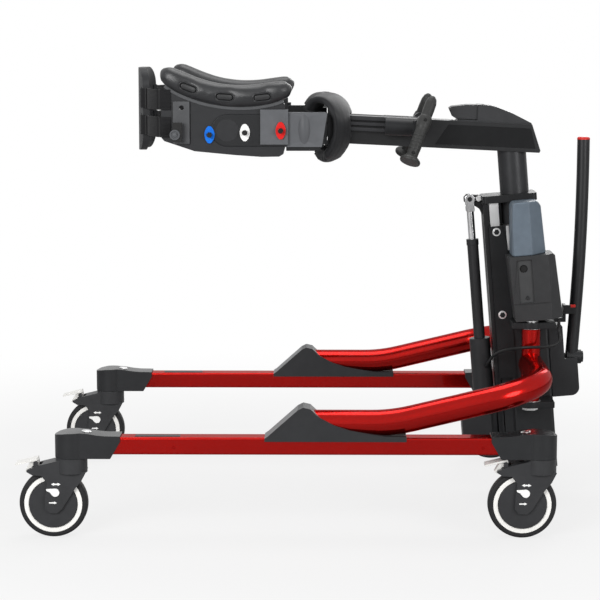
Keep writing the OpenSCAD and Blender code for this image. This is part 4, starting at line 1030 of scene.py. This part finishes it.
def makeArmTrim(side, sign, cfg):
    x, z, r, end = (cfg["panel"][key] for key in ("x", "z", "r", "end"))
    ring = [(x - r * math.sin(a), z + r * math.cos(a)) for a in np.linspace(0, math.pi, 24)]
    spans = np.linspace(0.09, 0.905, 34)
    lip = [rollUnder(t, 0.0032) for t in spans] + [rollUnder(t, -0.0045) for t in reversed(spans)]
    plates = [("ShellPanel", atPrompt(ring + [(end, z - r), (end, z + r)]), 0.179, 0.1823, "clamp", 0.0016, 3),
              # the lip's paler grey is a painted highlight along the shell's upper edge
              ("ShellLipHighlight", lip, 0.165, 0.1813, "adjuster", 0.0006, 2),
              ("BarCarrier", atPrompt(cfg["carrier"]), 0.1625, 0.1745, "hub", 0.0012, 2)]
    for name, points, low, high, material, width, steps in plates:
        piece = outlinePiece(side + name, points, sign * low, sign * high, material, width, steps)
        place(piece, side + "_arm", "shell_plastic")
    back = cfg["backing"]
    turns = np.linspace(math.radians(-back["turn"]), math.radians(back["turn"]), 15)
    arc = [(back["rx"] * math.cos(a) + back["x"], back["rz"] * math.sin(a)) for a in turns]
    points = atPrompt(arc + list(back["end"]))
    piece = outlinePiece(side + "PadBacking", points, sign * 0.024, sign * 0.112, "hub", 0.0008, 2)
    place(piece, "lift", slotOf["prompt_hub"])


# on each handhold: two screws on its outer face and ribs round its lower half
gripTrim = {"x": -0.179, "y": 0.096, "tilt": 18.25, "splay": 22, "screws": ((-0.0675, 0.0108), (0.002, 0.0131)),
            "ribs": ((-0.058, 0.0113), (-0.051, 0.0116), (-0.044, 0.0117), (-0.037, 0.0115), (-0.030, 0.0112)),
            "ribR": 0.0117}


def makeGripTrim(side, sign, cfg):
    tilt = math.radians(cfg["tilt"] + armFrame["rise"])
    splay = math.radians(cfg["splay"])
    upright = Vector((math.sin(tilt), 0, math.cos(tilt)))
    outward = Vector((0, sign, 0))
    axis = math.cos(splay) * upright - math.sin(splay) * outward
    out = math.sin(splay) * upright + math.cos(splay) * outward
    middle = atArm(cfg["x"], sign * cfg["y"], armFrame["height"] - 0.004)
    screws = [(middle + axis * h + out * r, out, axis) for h, r in cfg["screws"]]
    repeatPiece(side + "GripScrews", "screw", screws, (0.0036, 0.0016, 18), "studPost", side + "_grip", "steel")
    ribs = [(middle + axis * h + out * (r - cfg["ribR"]), axis, out) for h, r in cfg["ribs"]]
    repeatPiece(side + "GripRibs", "rib", ribs, (cfg["ribR"], 0.0008, 8), "grip", side + "_grip", "grip")


for side, sign in sides.items():
    makeLegTrim(side, sign, legTrim)
    makeKnob(side, sign, knobDisc)
    makeArmTrim(side, sign, armTrim)
    makeGripTrim(side, sign, gripTrim)

# bolts of the rod bracket, the box's round button and tab, a bright edge by the battery, a filler behind the motor box
# and the keeper's red tip
mastTrim = {"bolt": (-0.072, 0.0138, 0.599), "button": (-0.002, -0.1081, 0.466), "tab": (0.002, -0.1081, 0.409),
            "edge": ((-0.0245, 0.496), (-0.019, 0.496), (-0.019, 0.544), (-0.0245, 0.544)),
            "back": ((-0.0805, 0.1205), (-0.0672, 0.1205), (-0.0672, 0.183), (-0.0805, 0.183))}


def makeMastTrim(cfg):
    leanDir = atMast(0, 0, 1) - atMast(0, 0, 0)
    x, y, z = cfg["bolt"]
    bolts = [(atMast(x, k * y, z), (0, k, 0), leanDir) for k in (-1, 1)]
    repeatPiece("bracketBolts", "screw", bolts, (0.0068, 0.0026, 6), "steel", "lift", "steel")
    for name, key, sizes, material in (("boxButton", "button", (0.0075, 0.003, 32), "studPost"),
                                       ("boxTab", "tab", (0.0045, 0.003, 4), "boxCase")):
        repeatPiece(name, "screw", [(atMast(*cfg[key]), (0, -1, 0), leanDir)], sizes, material, "base", "black_plastic")
    edge, back = ([(p.x, p.z) for p in (atMast(x, 0, z) for x, z in cfg[key])] for key in ("edge", "back"))
    place(outlinePiece("mastEdge", edge, -0.0387, -0.0376, "bright", 0.0002, 1), "base", "slide_metal")
    place(outlinePiece("motorBack", back, -0.02, 0.02, "moulded", 0.001, 2), "base", "black_plastic")
    boxPiece("keeperTip", (0.5055, -0.0206, 0.3785), (0.5156, -0.0144, 0.3838), "redCap", "base", "red_paint", 0.0008)


makeMastTrim(mastTrim)
print("trim made")

# plain studio: pale floor, soft lamps, white surround
studio = {"floor": 0.5, "surround": 0.28, "lamps": [
    ("key", (-1.5, -2.8, 1.5), (0, 0, 0.4), 1.8, 80), ("fill", (2.2, -2.6, 1.2), (0.1, 0, 0.4), 1.6, 46),
    ("top", (0.2, 0.4, 3.0), (0, 0, 0.3), 2.0, 36), ("rim", (1.2, 2.6, 1.6), (0, 0, 0.4), 1.6, 26)]}


def addStudio(cfg):
    bm = bmesh.new()
    bmesh.ops.create_grid(bm, x_segments=1, y_segments=1, size=14)
    mesh = bpy.data.meshes.new("floor")
    bm.to_mesh(mesh)
    bm.free()
    addObject("floor", mesh)
    f = Finish("floorPale")
    f.feed(Base_Color=(cfg["floor"],) * 3 + (1,), Roughness=0.9)
    seen = f.add("ShaderNodeLightPath", out="Is Camera Ray")
    glow = f.add("ShaderNodeEmission", {}, {"Color": (1, 1, 1, 1), "Strength": 1.0})
    lit = Wire(f.tree, f.shader.outputs[0])
    at = f.add("ShaderNodeTexCoord", out="Object")
    away = f.add("ShaderNodeVectorMath", {"operation": "LENGTH"}, {0: at}, "Value")
    fade = f.add("ShaderNodeMapRange", {"interpolation_type": "SMOOTHSTEP"},
                 {"Value": away, "From Min": 0.5, "From Max": 1.9})
    both = f.add("ShaderNodeMixShader", {}, {0: seen * (fade * 0.22 + 0.78), 1: lit, 2: glow})
    f.tree.links.new(both.socket, f.tree.nodes["Material Output"].inputs[0])
    mesh.materials.append(f.material)
    world = bpy.data.worlds.new("surround")
    scene.world = world
    world.use_nodes = True
    w = Finish("surround", world.node_tree)
    plain = w.tree.nodes["Background"]
    plain.inputs[0].default_value = (1, 1, 1, 1)
    rays = ("Is Camera Ray", "Is Glossy Ray", "Is Transmission Ray")
    path = [w.add("ShaderNodeLightPath", out=name) for name in rays]
    shown = path[0].maths("MAXIMUM", path[0], path[0].maths("MAXIMUM", path[1], path[2]))
    w.tree.links.new((shown * (1 - cfg["surround"]) + cfg["surround"]).socket, plain.inputs[1])
    for name, at, aim, size, power in cfg["lamps"]:
        lamp = bpy.data.lights.new(name, "AREA")
        lamp.shape = "DISK"
        lamp.size = size
        lamp.energy = power
        lampObject = addObject(name, lamp)
        lampObject.location = at
        lampObject.rotation_euler = (Vector(aim) - Vector(at)).to_track_quat("-Z", "Y").to_euler()


addStudio(studio)
scene.view_settings.view_transform = "Standard"
